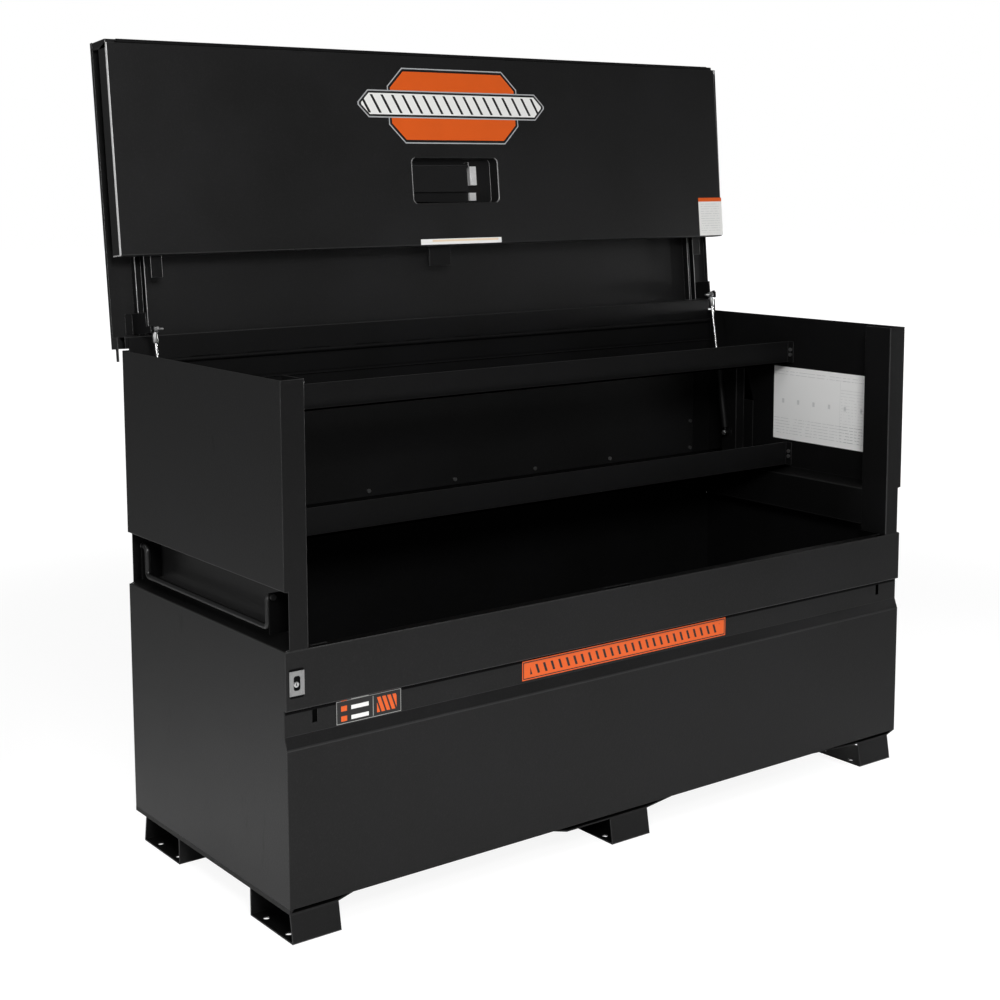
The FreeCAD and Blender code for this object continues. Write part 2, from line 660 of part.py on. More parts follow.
def make_back_panel():
    body = box_piece("shelf_back_panel")
    block(body, (-back_panel_half, back_panel_half), (inner_rear - wall_sheet, inner_rear),
          (lower_shelf_low + wall_sheet, upper_shelf_low))


def make_screws():
    body = box_piece("shelf_screws")
    face = inner_rear - wall_sheet
    height = lower_shelf_low + wall_sheet + back_screw_rise
    for step in (-2, -1, 0, 1, 2):
        rod(body, "y", (face - screw_head, face), (step * back_screw_x, height), screw_radius)
    for side in (-1, 1):
        edge = side * (back_panel_half - 2 * screw_radius)
        for rise in (height, height + side_screw_rise):
            rod(body, "y", (face - screw_head, face), (edge, rise), screw_radius)
        tab_face = inner_half - wall_sheet
        for low, lip in ((upper_shelf_low, upper_lip), (lower_shelf_low, lower_lip)):
            for step in (-0.5, 0.5):
                middle = low + lip / 2 + step * screw_pitch
                rod(body, "x", sided(side, tab_face - screw_head, tab_face),
                    (shelf_front - shelf_tab / 2, middle), screw_radius)


def make_rails():
    body = box_piece("cross_rails")
    left_low = -half_width + left_rail_flat
    mid_low = mid_rail_x - mid_rail_flat / 2
    mid_high = mid_rail_x + mid_rail_flat / 2
    right_high = half_width - right_rail_outer
    right_low = right_high - right_rail_flat
    rails = (
        (-half_width, -half_width, left_low, left_low + left_rail_slope),
        (mid_low - mid_rail_left, mid_low, mid_high, mid_high + mid_rail_right),
        (right_low - right_rail_inner, right_low, right_high, half_width),
    )
    for top_left, low_left, low_right, top_right in rails:
        section = [
            (top_left, floor_height),
            (low_left, rail_low),
            (low_right, rail_low),
            (top_right, floor_height),
            (top_right - rail_toe, floor_height),
            (low_right - rail_plate, rail_low + rail_plate),
            (low_left + rail_plate, rail_low + rail_plate),
            (top_left + rail_toe, floor_height),
        ]
        fold_along_y(body, section, (-half_depth, half_depth))


def make_foot(name, left, outward):
    """Foot bent from plate, open to both sides; outward is -1 in front."""
    body = box_piece(name)
    if outward < 0:
        outer = -half_depth
        inner = outer + front_foot_long
    else:
        outer = half_depth - rear_foot_inset
        inner = outer - rear_foot_long
    base = outer + outward * foot_flare
    flare = foot_flare * foot_plate / foot_height
    section = [
        (outer, foot_height),
        (base, 0),
        (inner, 0),
        (inner, foot_height),
        (inner + outward * foot_plate, foot_height),
        (inner + outward * foot_plate, foot_plate),
        (base - outward * (foot_plate + flare), foot_plate),
        (outer - outward * foot_plate, foot_height),
    ]
    fold_along_x(body, section, (left, left + foot_width))
    middle_x = left + foot_width / 2
    middle = (outer + inner) / 2
    for x_sign in (-1, 1):
        for y_sign in (-1, 1):
            rod(body, "z", (-cut_over, foot_plate + cut_over),
                (middle_x + x_sign * anchor_x / 2, middle + y_sign * anchor_y / 2),
                anchor_radius, cut=True)


def make_wall_channel(side, name):
    body = box_piece(name)
    low = lower_shelf_low + wall_sheet
    block(body, sided(side, channel_face, channel_face + wall_sheet),
          (channel_front, channel_rear), (low, channel_top))
    for near in (channel_front, channel_rear - wall_sheet):
        block(body, sided(side, channel_face + wall_sheet, inner_half),
              (near, near + wall_sheet), (low, channel_top))
    block(body, sided(side, inner_half - wall_sheet, inner_half),
          (channel_front - channel_foot, channel_front), (low, channel_top - channel_foot_drop))
    rod(body, "x", sided(side, strut_x - eye_thick / 2 - stud_over, channel_face),
        (strut_low_y, strut_low_z), stud_radius)


def make_bail(side, name):
    body = box_piece(name)
    across = side * (half_width - bail_setback)
    arm = bail_span / 2
    low = bail_pivot_z - bail_drop
    rod(body, "y", (-arm + bail_bend, arm - bail_bend), (across, low), bail_radius)
    for end in (-1, 1):
        rod(body, "z", (low + bail_bend, bail_pivot_z - bail_bend), (across, end * arm), bail_radius)
        reach = (arm + bail_bend, arm + bail_bend + bail_pin)
        along = reach if end > 0 else (-reach[1], -reach[0])
        rod(body, "y", along, (across, bail_pivot_z), bail_radius)
        inward = Vector(0, -end, 0)
        down = Vector(0, 0, -1)
        up = Vector(0, 0, 1)
        outward = Vector(0, end, 0)
        bends = (
            (end * (arm - bail_bend), low + bail_bend, outward, down),
            (end * (arm + bail_bend), bail_pivot_z - bail_bend, inward, up),
        )
        for y, z, first, second in bends:
            if first.cross(second).x < 0:
                first, second = second, first
            bend = body.newObject("PartDesign::AdditiveTorus", "bend")
            turn = FreeCAD.Rotation(first, second, first.cross(second), "XYZ")
            bend.Placement = FreeCAD.Placement(Vector(0, 0, 0), turn)
            bend.Angle3 = 90
            bind(bend, "Radius1", bail_bend)
            bind(bend, "Radius2", bail_radius)
            bind(bend, "Placement.Base.x", across)
            bind(bend, "Placement.Base.y", y)
            bind(bend, "Placement.Base.z", z)


def make_bail_bracket(side, name):
    body = box_piece(name)
    wall = half_width - recess_deep
    pivot_x = side * (half_width - bail_setback)
    near = bail_span / 2 + bail_bend + bracket_gap
    for end in (-1, 1):
        ear = sided(end, near, near + bracket_plate)
        block(body, sided(side, wall, wall + bracket_plate), sided(end, near, near + bracket_long),
              (bracket_low, bracket_high))
        block(body, sided(side, wall + bracket_plate, half_width - wall_sheet), ear,
              (bracket_low, bracket_high))
        rod(body, "y", (ear[0] - cut_over, ear[1] + cut_over), (pivot_x, bail_pivot_z),
            bail_radius + fit_gap, cut=True)


def make_port():
    body = box_piece("port_plate")
    face = -half_depth
    left = port_x - port_width / 2
    low = port_z - port_height / 2
    block(body, (left, left + port_width), (face - port_thick, face), (low, low + port_height))
    soft_block(body, (port_x - port_window / 2, port_x + port_window / 2),
               (face - port_thick - cut_over, face - port_thick / 2),
               (port_z - port_window_tall / 2, port_z + port_window_tall / 2),
               port_window_corner, cut=True)
    for x in (left + rivet_inset, left + port_width - rivet_inset):
        for z in (low + rivet_inset, low + port_height - rivet_inset):
            rod(body, "y", (face - port_thick - rivet_head, face - port_thick), (x, z), rivet_radius)


def make_header():
    body = box_piece("rear_header")
    block(body, (-inner_half, inner_half), (hinge_y + hinge_offset + hinge_plate, inner_rear),
          (hinge_z - header_drop - header_high, hinge_z - header_drop))


def make_body_leaf():
    body = box_piece("rear_hinge_leaf")
    half = hinge_length / 2
    front = hinge_y + hinge_offset
    top = hinge_z - hinge_leaf_gap
    block(body, (-half, half), (front, front + hinge_plate), (top - body_leaf_long, top))
    knuckles(body, -half, (front, hinge_y + hinge_radius), (top, hinge_z),
             (hinge_y, hinge_z), hinge_radius, hinge_pin)


def make_rear_pin():
    body = box_piece("rear_hinge_pin")
    half = hinge_length / 2 + pin_over
    rod(body, "x", (-half, half), (hinge_y, hinge_z), hinge_pin)


def make_lid_leaf():
    body = lid_piece("lid_hinge_leaf")
    half = hinge_length / 2
    block(body, (-half, half), (rail_inner - hinge_plate, rail_inner),
          (hinge_leaf_gap, hinge_leaf_gap + lid_leaf_long))
    knuckles(body, -half + knuckle_pitch, (rail_inner - hinge_plate, rail_inner),
             (0, hinge_leaf_gap), (0, 0), hinge_radius, hinge_pin)


def make_lid_panel():
    body = lid_piece("lid_panel")
    block(body, (-lid_half, lid_half), (lid_inner, lid_outer), (lid_low, lid_height))
    for side in (-1, 1):
        edge = sided(side, lid_half - wall_sheet, lid_half)
        block(body, edge, (lid_outer - lid_lip, lid_inner), (lid_low, lid_height))
        block(body, edge, (ear_inner, lid_outer - lid_lip), (lid_low, ear_top))
        block(body, edge, (ear_inner, ear_inner + ear_width), (ear_low, lid_low))


def make_skirt():
    body = lid_piece("lid_top_beam")
    half = lid_half - wall_sheet
    low = lid_height - skirt_thick
    block(body, (-half, half), (-skirt_front, lid_inner), (low, lid_height))
    block(body, (-half + wall_sheet, half - wall_sheet),
          (-skirt_front + wall_sheet, lid_inner + cut_over),
          (low + wall_sheet, lid_height - wall_sheet), cut=True)


def make_rear_rail():
    body = lid_piece("lid_rear_rail")
    half = inner_half - rail_side_gap
    high = lid_low + rail_height
    section = [
        (lid_inner, lid_low),
        (rail_inner, lid_low),
        (rail_inner, high),
        (lid_inner, high),
        (lid_inner, high - wall_sheet),
        (rail_inner + wall_sheet, high - wall_sheet),
        (rail_inner + wall_sheet, lid_low + wall_sheet),
        (lid_inner, lid_low + wall_sheet),
    ]
    fold_along_x(body, section, (-half, half))


def make_stiffener(side, name):
    body = lid_piece(name)
    low = lid_inner - stiff_deep
    high = stiff_inner + stiff_wide
    along = (lid_low + stiff_rise, lid_height - stiff_drop)
    block(body, sided(side, stiff_inner, high), (lid_inner - wall_sheet, lid_inner), along)
    for near in (stiff_inner, high - wall_sheet):
        block(body, sided(side, near, near + wall_sheet), (low, lid_inner - wall_sheet), along)


def make_lid_plate(side, name):
    body = lid_piece(name)
    outer = lid_plate_x + lid_plate_thick
    block(body, sided(side, lid_plate_x, outer), (-lid_plate_front, lid_inner),
          (lid_plate_low, lid_plate_high))
    block(body, sided(side, lid_plate_x, outer),
          (-strut_lid_front - eye_radius, -lid_plate_front),
          (strut_lid_high - eye_radius, strut_lid_high + eye_radius))
    block(body, sided(side, outer, outer + lid_plate_foot), (lid_inner - lid_plate_thick, lid_inner),
          (lid_plate_low, lid_plate_high))
    rod(body, "x", sided(side, strut_x + eye_thick / 2 + part_gap, lid_plate_x),
        (-strut_lid_front, strut_lid_high), stud_radius)


def make_beam_leaf():
    body = lid_piece("beam_hinge_leaf")
    half = hinge_length / 2
    low = lid_height - skirt_thick
    top = leaf_axis_high - leaf_hinge_gap
    deep = (-skirt_front - wall_sheet, -skirt_front)
    block(body, (-half, half), deep, (low, top))
    knuckles(body, -half, deep, (top, leaf_axis_high), (leaf_axis_deep, leaf_axis_high),
             leaf_hinge_radius, leaf_pin_radius)


def make_leaf_hinge():
    body = lid_piece("leaf_hinge_leaf")
    half = hinge_length / 2
    top = leaf_axis_high - leaf_hinge_gap
    deep = (leaf_inner, leaf_inner + wall_sheet)
    block(body, (-half, half), deep, (top - leaf_hinge_long, top))
    knuckles(body, -half + knuckle_pitch, deep, (top, leaf_axis_high),
             (leaf_axis_deep, leaf_axis_high), leaf_hinge_radius, leaf_pin_radius)


def make_leaf_pin():
    body = lid_piece("leaf_hinge_pin")
    half = hinge_length / 2 + pin_over
    rod(body, "x", (-half, half), (leaf_axis_deep, leaf_axis_high), leaf_pin_radius)


def make_leaf_panel():
    body = lid_piece("leaf_panel")
    block(body, (-lid_half, lid_half), (-leaf_outer, leaf_inner), (leaf_low, leaf_top))
    for side in (-1, 1):
        block(body, sided(side, lid_half - wall_sheet, lid_half),
              (leaf_inner, -leaf_outer + leaf_side), (leaf_low, leaf_top - leaf_side_drop))
    block(body, (-lid_half + wall_sheet, lid_half - wall_sheet),
          (leaf_inner, -leaf_outer + leaf_lip), (leaf_low, leaf_low + wall_sheet))
    soft_block(body, (-cup_half - cup_wall, cup_half + cup_wall),
               (-leaf_outer - cut_over, leaf_inner + cut_over),
               (cup_low - cup_wall, cup_high + cup_wall), cup_corner + cup_wall, cut=True)


def make_cup():
    body = lid_piece("latch_cup")
    back = -leaf_outer + cup_deep
    soft_block(body, (-cup_half - cup_wall, cup_half + cup_wall), (-leaf_outer, back + cup_wall),
               (cup_low - cup_wall, cup_high + cup_wall), cup_corner + cup_wall)
    soft_block(body, (-cup_half, cup_half), (-leaf_outer - cut_over, back),
               (cup_low, cup_high), cup_corner, cut=True)
    lug_high = (handle_axis_high - lug_half, handle_axis_high + lug_half)
    lug_deep = (-handle_axis_front - lug_half, back)
    for near in (handle_left - part_gap - lug_thick, handle_right + part_gap):
        block(body, (near, near + lug_thick), lug_deep, lug_high)
        rod(body, "x", (near - part_gap, near + lug_thick + part_gap),
            (-handle_axis_front, handle_axis_high), handle_pin + fit_gap, cut=True)


def make_latch_handle():
    body = lid_piece("latch_handle")
    axis = (-handle_axis_front, handle_axis_high)
    block(body, (handle_left, handle_right),
          (-handle_axis_front - handle_thick / 2, -handle_axis_front + handle_thick / 2),
          (handle_low, handle_axis_high))
    rod(body, "x", (handle_left, handle_right), axis, handle_barrel)
    reach = lug_thick + part_gap / 2
    rod(body, "x", (handle_left - reach, handle_right + reach), axis, handle_pin)


def make_lock():
    body = lid_piece("lock_plate")
    back = -leaf_outer + cup_deep
    block(body, (lock_left, lock_left + lock_wide), (back - lock_deep, back), (lock_low, lock_high))
    rod(body, "y", (back - lock_deep - wall_sheet, back - lock_deep),
        (lock_left + lock_wide / 2, (lock_low + lock_high) / 2), lock_wide / 2 - wall_sheet)
    block(body, (lock_left, lock_left + lock_wide), (back - lock_deep / 2, back),
          (cup_low + keeper_rise, cup_low + keeper_rise + keeper_tall))


def make_catch():
    body = lid_piece("centre_catch")
    block(body, (catch_x - catch_wide / 2, catch_x + catch_wide / 2),
          (-catch_front, -catch_front + catch_thick), (catch_low, leaf_low + catch_rise))


def make_guide():
    body = lid_piece("catch_guide")
    reach = catch_wide / 2 + part_gap
    rear = -catch_front + catch_thick + part_gap
    along = (guide_low, guide_high)
    through = (guide_low - cut_over, guide_high + cut_over)
    block(body, (catch_x - reach - guide_wall, catch_x + reach + guide_wall),
          (leaf_inner, rear + guide_wall), along)
    block(body, (catch_x - reach, catch_x + reach), (-catch_front - part_gap, rear),
          through, cut=True)
    block(body, (catch_x - reach, catch_x + reach),
          (leaf_inner + guide_wall, -catch_front - part_gap - guide_wall), through, cut=True)


def make_hook(name, middle):
    body = lid_piece(name)
    across = (middle - hook_wide / 2, middle + hook_wide / 2)
    face = -catch_front
    block(body, across, (leaf_inner, leaf_inner + hook_thick),
          (leaf_low + wall_sheet, leaf_low + wall_sheet + hook_base))
    block(body, across, (leaf_inner + hook_thick, face + hook_thick),
          (hook_web, hook_web + hook_thick))
    block(body, across, (face, face + hook_thick), (catch_low, hook_web))


def make_strut_tube(side, name):
    body = strut_piece(name)
    across = sided(side, strut_x - eye_thick / 2, strut_x + eye_thick / 2)
    middle = (side * strut_x, 0)
    high = tube_start + tube_long
    rod(body, "x", across, (0, 0), eye_radius)
    rod(body, "z", ((stud_radius + eye_radius) / 2, tube_start), middle, rod_radius)
    rod(body, "z", (tube_start, high), middle, tube_radius)
    rod(body, "z", (tube_start + tube_end, high - tube_end), middle, tube_bore, cut=True)
    rod(body, "z", (high - tube_end - cut_over, high + cut_over), middle, rod_radius + fit_gap,
        cut=True)
    rod(body, "x", (across[0] - cut_over, across[1] + cut_over), (0, 0), stud_radius + fit_gap,
        cut=True)


def make_strut_rod(side, name):
    body = strut_piece(name)
    across = sided(side, strut_x - eye_thick / 2, strut_x + eye_thick / 2)
    middle = (side * strut_x, 0)
    rod(body, "z", (piston_start, strut_long), middle, rod_radius)
    rod(body, "z", (piston_start, piston_start + piston_thick), middle, tube_bore - fit_gap)
    rod(body, "x", across, (0, strut_long), eye_radius)


def make_labels():
    face = rebate_y
    strip = box_piece("accent_strip")
    block(strip, (strip_left, strip_left + strip_long), (face - label_thick, face),
          (rebate_start + strip_rise, rebate_start + strip_rise + strip_high))
    tag = box_piece("front_tag")
    left = -half_width + tag_inset
    low = rebate_start + tag_rise
    block(tag, (left, left + tag_long), (face - label_thick, face), (low, low + tag_high))
    card = box_piece("wall_card")
    front = -half_depth + card_setback
    block(card, (inner_half - label_thick, inner_half), (front, front + card_long),
          (card_low, card_low + card_high))
    deep = (-leaf_outer - label_thick, -leaf_outer)
    badge = lid_piece("leaf_badge")
    high = leaf_top - badge_drop
    block(badge, (badge_left, badge_left + badge_long), deep, (high - badge_high, high))
    edge = lid_piece("leaf_edge_strip")
    low = leaf_low + edge_rise
    block(edge, (edge_left, edge_left + edge_long), deep, (low, low + edge_high))
    corner = lid_piece("leaf_corner_tag")
    low = leaf_low + corner_rise
    block(corner, (lid_half - corner_long, lid_half), deep, (low, low + corner_high))


make_floor()
make_front()
make_rear()
make_header()
make_back_panel()
make_shelf("upper_shelf", upper_shelf_low, upper_lip, True)
make_shelf("lower_shelf", lower_shelf_low, lower_lip, False)
make_screws()
make_rails()
foot_places = (
    ("left", -half_width),
    ("middle", middle_foot_x - foot_width / 2),
    ("right", half_width - right_foot_inset - foot_width),
)
for where, left in foot_places:
    make_foot("foot_front_" + where, left, -1)
    make_foot("foot_rear_" + where, left, 1)
for side, where in ((-1, "left"), (1, "right")):
    make_side(side, "side_panel_" + where)
    make_post(side, "corner_post_" + where)
    make_wall_channel(side, "strut_channel_" + where)
    make_bail(side, "bail_" + where)
    make_bail_bracket(side, "bail_brackets_" + where)
    make_stiffener(side, "lid_stiffener_" + where)
    make_lid_plate(side, "lid_strut_plate_" + where)
    make_strut_tube(side, "strut_tube_" + where)
    make_strut_rod(side, "strut_rod_" + where)
make_port()
make_body_leaf()
make_rear_pin()
make_lid_leaf()
make_lid_panel()
make_skirt()
make_rear_rail()
make_beam_leaf()
make_leaf_hinge()
make_leaf_pin()
make_leaf_panel()
make_cup()
make_latch_handle()
make_lock()
make_catch()
make_guide()
make_hook("corner_hook_left", hook_left_x)
make_hook("corner_hook_right", hook_right_x)
make_labels()

doc.recompute()

for thing in doc.Objects:
    if "Invalid" in thing.State or "Error" in thing.State:
        raise RuntimeError("%s failed: %s" % (thing.Label, thing.State))

bodies = [thing for thing in doc.Objects if thing.TypeId == "PartDesign::Body"]
for body in bodies:
    if body.Shape.isNull() or not body.Shape.isValid():
        raise RuntimeError("no valid shape: " + body.Label)

os.makedirs("parts", exist_ok=True)
for body in bodies:
    body.Shape.exportStep("parts/%s.step" % body.Label)
    print(body.Label, len(body.Shape.Solids), round(body.Shape.Volume))
print("pieces:", len(bodies))
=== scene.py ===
import bpy
import json
import math
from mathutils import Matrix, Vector

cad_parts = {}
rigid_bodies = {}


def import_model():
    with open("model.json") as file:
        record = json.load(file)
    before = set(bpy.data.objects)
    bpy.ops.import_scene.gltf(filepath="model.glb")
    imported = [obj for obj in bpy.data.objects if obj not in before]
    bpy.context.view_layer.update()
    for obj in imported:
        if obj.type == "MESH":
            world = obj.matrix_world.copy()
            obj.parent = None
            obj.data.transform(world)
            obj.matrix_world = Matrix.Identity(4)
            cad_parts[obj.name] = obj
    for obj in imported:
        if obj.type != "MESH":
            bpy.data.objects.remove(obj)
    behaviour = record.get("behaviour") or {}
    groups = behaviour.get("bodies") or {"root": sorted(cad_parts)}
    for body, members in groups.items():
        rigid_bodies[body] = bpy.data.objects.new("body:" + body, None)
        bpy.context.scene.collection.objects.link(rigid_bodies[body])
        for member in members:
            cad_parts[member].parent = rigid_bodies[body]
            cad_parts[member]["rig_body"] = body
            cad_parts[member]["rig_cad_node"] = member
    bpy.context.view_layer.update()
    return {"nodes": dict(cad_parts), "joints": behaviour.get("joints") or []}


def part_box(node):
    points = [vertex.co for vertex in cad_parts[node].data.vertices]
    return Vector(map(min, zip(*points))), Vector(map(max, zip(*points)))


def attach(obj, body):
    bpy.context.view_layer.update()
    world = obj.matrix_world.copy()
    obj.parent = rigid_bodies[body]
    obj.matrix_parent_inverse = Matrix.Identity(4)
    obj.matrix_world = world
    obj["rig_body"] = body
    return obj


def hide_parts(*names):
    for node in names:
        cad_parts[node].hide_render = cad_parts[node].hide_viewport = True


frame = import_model()
nodes = frame["nodes"]
joints = {joint["name"]: joint for joint in frame["joints"]}
print("frame loaded:", len(nodes), "nodes")

# the lid's own directions: up along the lid, and out of its back
lid = {"lean": math.radians(5.5), "hinge": Vector(joints["lid_hinge"]["pos_m"])}
lidUp = Vector((0, math.sin(lid["lean"]), math.cos(lid["lean"])))
lidOut = Vector((0, math.cos(lid["lean"]), -math.sin(lid["lean"])))


def onLid(x, out, up):  # a point in the lid's own measures, in mm
    return lid["hinge"] + Vector((x / 1000, 0, 0)) + lidOut * (out / 1000) + lidUp * (up / 1000)


# shader maths

class Wire:
    def __init__(self, paint, socket):
        self.paint = paint
        self.socket = socket

    def math(self, operation, *values):
        return self.paint.node("ShaderNodeMath", {"operation": operation}, values)

    def __add__(self, other):
        return self.math("ADD", self, other)

    def __radd__(self, other):
        return self.math("ADD", other, self)

    def __sub__(self, other):
        return self.math("SUBTRACT", self, other)

    def __rsub__(self, other):
        return self.math("SUBTRACT", other, self)

    def __mul__(self, other):
        return self.math("MULTIPLY", self, other)

    def __rmul__(self, other):
        return self.math("MULTIPLY", other, self)

    def above(self, edge):
        return self.math("GREATER_THAN", self, edge)

    def below(self, edge):
        return self.math("LESS_THAN", self, edge)

    def wrapped(self, period):  # distance past the last multiple of the period
        return self.math("FLOORED_MODULO", self, period)

    def size(self):
        return self.math("ABSOLUTE", self)

    def clamped(self):
        return self.paint.node("ShaderNodeClamp", {}, (self, 0, 1))

    def eased(self, low, high):
        settings = {"interpolation_type": "SMOOTHSTEP"}
        return self.paint.node("ShaderNodeMapRange", settings, (self, low, high, 0, 1))


mixSockets = {"mask": 0, "first": 6, "second": 7, "result": 2}  # the colour sockets of a Mix node


class Paint:
    def __init__(self, name, **fixed):
        self.material = bpy.data.materials.new(name)
        self.material.use_nodes = True
        self.tree = self.material.node_tree
        self.shader = self.tree.nodes["Principled BSDF"]
        for socket, value in fixed.items():
            self.shader.inputs[socket.replace("_", " ")].default_value = value

    def node(self, kind, settings, values=(), out=0):
        made = self.tree.nodes.new(kind)
        for name, value in settings.items():
            setattr(made, name, value)
        pairs = values.items() if isinstance(values, dict) else enumerate(values)
        for key, value in pairs:
            if isinstance(value, Wire):
                self.tree.links.new(value.socket, made.inputs[key])
            else:
                made.inputs[key].default_value = value
        return Wire(self, made.outputs[out])

    def coords(self):
        return self.node("ShaderNodeTexCoord", {}, out="Object")

    def place(self, axis):  # one object coordinate, in metres
        return self.node("ShaderNodeSeparateXYZ", {}, (self.coords(),), out=axis)

    def along(self, direction, origin):  # distance along a direction from a point
        offset = self.node("ShaderNodeVectorMath", {"operation": "SUBTRACT"}, (self.coords(), tuple(origin)))
        values = (offset, tuple(direction))
        return self.node("ShaderNodeVectorMath", {"operation": "DOT_PRODUCT"}, values, "Value")

    def noise(self, scale, detail=3, rough=0.55, stretch=None):
        coords = self.coords()
        if stretch:
            coords = self.node("ShaderNodeVectorMath", {"operation": "MULTIPLY"}, (coords, stretch))
        values = {"Vector": coords, "Scale": scale, "Detail": detail, "Roughness": rough}
        return self.node("ShaderNodeTexNoise", {}, values)

    def mix(self, mask, first, second):
        colours = {mixSockets["mask"]: mask, mixSockets["first"]: first, mixSockets["second"]: second}
        return self.node("ShaderNodeMix", {"data_type": "RGBA"}, colours, mixSockets["result"])

    def facing(self, axis):
        normal = self.node("ShaderNodeNewGeometry", {}, out="Normal")
        return self.node("ShaderNodeSeparateXYZ", {}, (normal,), out=axis)

    def bump(self, height, distance):
        return self.node("ShaderNodeBump", {}, {"Strength": 1.0, "Distance": distance, "Height": height})

    def join(self, socket, wire):
        self.tree.links.new(wire.socket, self.shader.inputs[socket])


def grey(level, blue=0.0):
    return (level, level, level + blue, 1)


# black powder coat, in the shades that the sheets show: some coats are darker copies that paint shade,
# others lighter copies that paint highlights

coats = {
    "outer": {"base": 0.0072, "top": 0.016, "rough": 0.4, "grain": 0.0004, "specular": 0.3},
    "front": {"base": 0.0068, "top": 0.016, "rough": 0.4, "grain": 0.0004, "specular": 0.215},
    # post: the same black coat made darker for the corner posts, painted shade
    "post": {"base": 0.0032, "top": 0.014, "rough": 0.44, "grain": 0.0003, "specular": 0.2},
    # inner: the same black coat made darker, painted shade for faces and parts inside the box
    "inner": {"base": 0.0034, "top": 0.006, "rough": 0.5, "grain": 0.0003, "specular": 0.15},
    "panel": {"base": 0.0062, "top": 0.009, "rough": 0.46, "grain": 0.0003, "specular": 0.25},
    # pit: the darkest copy of the coat, painted shadow for the bail brackets and the plates on the front
    "pit": {"base": 0.0012, "top": 0.002, "rough": 0.6, "grain": 0.0002, "specular": 0.07},
    "feet": {"base": 0.0052, "top": 0.012, "rough": 0.5, "grain": 0.0003, "specular": 0.22},
    "fittings": {"base": 0.006, "top": 0.01, "rough": 0.34, "grain": 0.00012, "specular": 0.4},
    # bend: a lighter, glossier copy on the rounded faces of the folds, a painted highlight
    "bend": {"base": 0.012, "top": 0.03, "rough": 0.32, "grain": 0.0001, "specular": 0.5},
    # brightBend: a lighter copy whose sideways folds are painted pale, a painted highlight
    "brightBend": {"base": 0.01, "top": 0.03, "rough": 0.3, "grain": 0.0001, "specular": 0.5, "fold": 0.42},
}

powder = {
    "peel": 260, "fine": 1100, "peelShare": 0.75,  # noise scales, and how much of the bump is peel
    "cloud": 3.1, "cloudEdge": (0.3, 0.75), "dark": 0.86, "pale": 1.12, "tint": 0.0004,
    "scuff": 26, "scuffEdge": (0.62, 0.74), "scuffStretch": (1, 1, 0.25),
    "fleck": 210, "fleckEdge": (0.5, 0.72), "fleckShare": 0.3, "fleckPale": 2.2,
    "lying": (0.55, 0.98), "dustFrom": (0.98, 1.04),  # how level a face is, and the height where dust and a painted top sheen begin
    "dustShare": 0.6, "dustTint": (1, 0.98, 0.94), "dustCloud": 0.9, "dustLeast": 0.25,
    # how much darker level faces lower down are: painted shade
    "hollowShare": 0.8, "hollowDark": 0.2,
    # where sideways folds get their painted highlight, and how much of it
    "turnFrom": (0.12, 0.34), "turnTo": (0.9, 0.985), "rubCloud": 0.5, "rubLeast": 0.6,
    "cloudRough": 0.14, "scuffRough": 0.09, "dustRough": 0.12,
}


def powderCoat(name, look):
    coat = Paint(name, Specular_IOR_Level=look["specular"])
    peel = coat.noise(powder["peel"], 3, 0.6)
    fine = coat.noise(powder["fine"], 2, 0.5)
    cloud = coat.noise(powder["cloud"], 4, 0.6)
    scuff = coat.noise(powder["scuff"], 5, 0.7, powder["scuffStretch"]).eased(*powder["scuffEdge"])
    flecks = coat.noise(powder["fleck"], 2, 0.5).eased(*powder["fleckEdge"])
    lying = coat.facing("Z").eased(*powder["lying"])
    high = coat.place("Z").eased(*powder["dustFrom"])
    # level faces high up are lighter: dust, and a painted highlight on the box's top rims
    dustAndTopSheenMask = (lying * high * (cloud * powder["dustCloud"] + powder["dustLeast"])).clamped()
    # level faces lower down are darker: painted shade on ledges, floors and shelves
    lowShade = lying * (1.0 - high)
    base = look["base"]
    darker = grey(base * powder["dark"])
    paler = grey(base * powder["pale"], powder["tint"])
    dustAndTopSheenColour = tuple(look["top"] * share for share in powder["dustTint"]) + (1,)
    shade = coat.mix(cloud.eased(*powder["cloudEdge"]), darker, paler)
    shade = coat.mix(flecks * powder["fleckShare"], shade, grey(base * powder["fleckPale"]))
    shade = coat.mix(dustAndTopSheenMask * powder["dustShare"], shade, dustAndTopSheenColour)
    shade = coat.mix(lowShade * powder["hollowShare"], shade, grey(base * powder["hollowDark"]))
    if "fold" in look:  # painted highlight: pale where a sheet turns sideways, as the side lamps would light its folds
        turn = coat.facing("X").size()
        sideways = turn.eased(*powder["turnFrom"]) * (1.0 - turn.eased(*powder["turnTo"]))
        foldHighlight = sideways * (cloud * powder["rubCloud"] + powder["rubLeast"])
        shade = coat.mix(foldHighlight.clamped(), shade, grey(look["fold"]))
    coat.join("Base Color", shade)
    smoothest = look["rough"] - powder["cloudRough"] / 2
    worn = scuff * powder["scuffRough"] + dustAndTopSheenMask * powder["dustRough"]
    coat.join("Roughness", cloud * powder["cloudRough"] + smoothest + worn)
    grain = peel * powder["peelShare"] + fine * (1 - powder["peelShare"])
    coat.join("Normal", coat.bump(grain, look["grain"]))
    return coat.material


# bare and plated steel

steels = {
    "zinc": {"name": "zincPlate", "level": 0.6, "rough": 0.34, "metal": 1.0},
    "chrome": {"name": "polishedRod", "level": 0.62, "rough": 0.24, "metal": 1.0},
    "satin": {"name": "satinPlate", "level": 0.42, "rough": 0.4, "metal": 1.0},
    "lock": {"name": "lockPlate", "level": 0.85, "rough": 0.3, "metal": 0.35},
}
brushing = {"streak": 900, "stretch": (1, 1, 0.04), "spots": 140, "dark": 0.8, "streakRough": 0.16,
            "spotRough": 0.1, "grain": 0.00004}


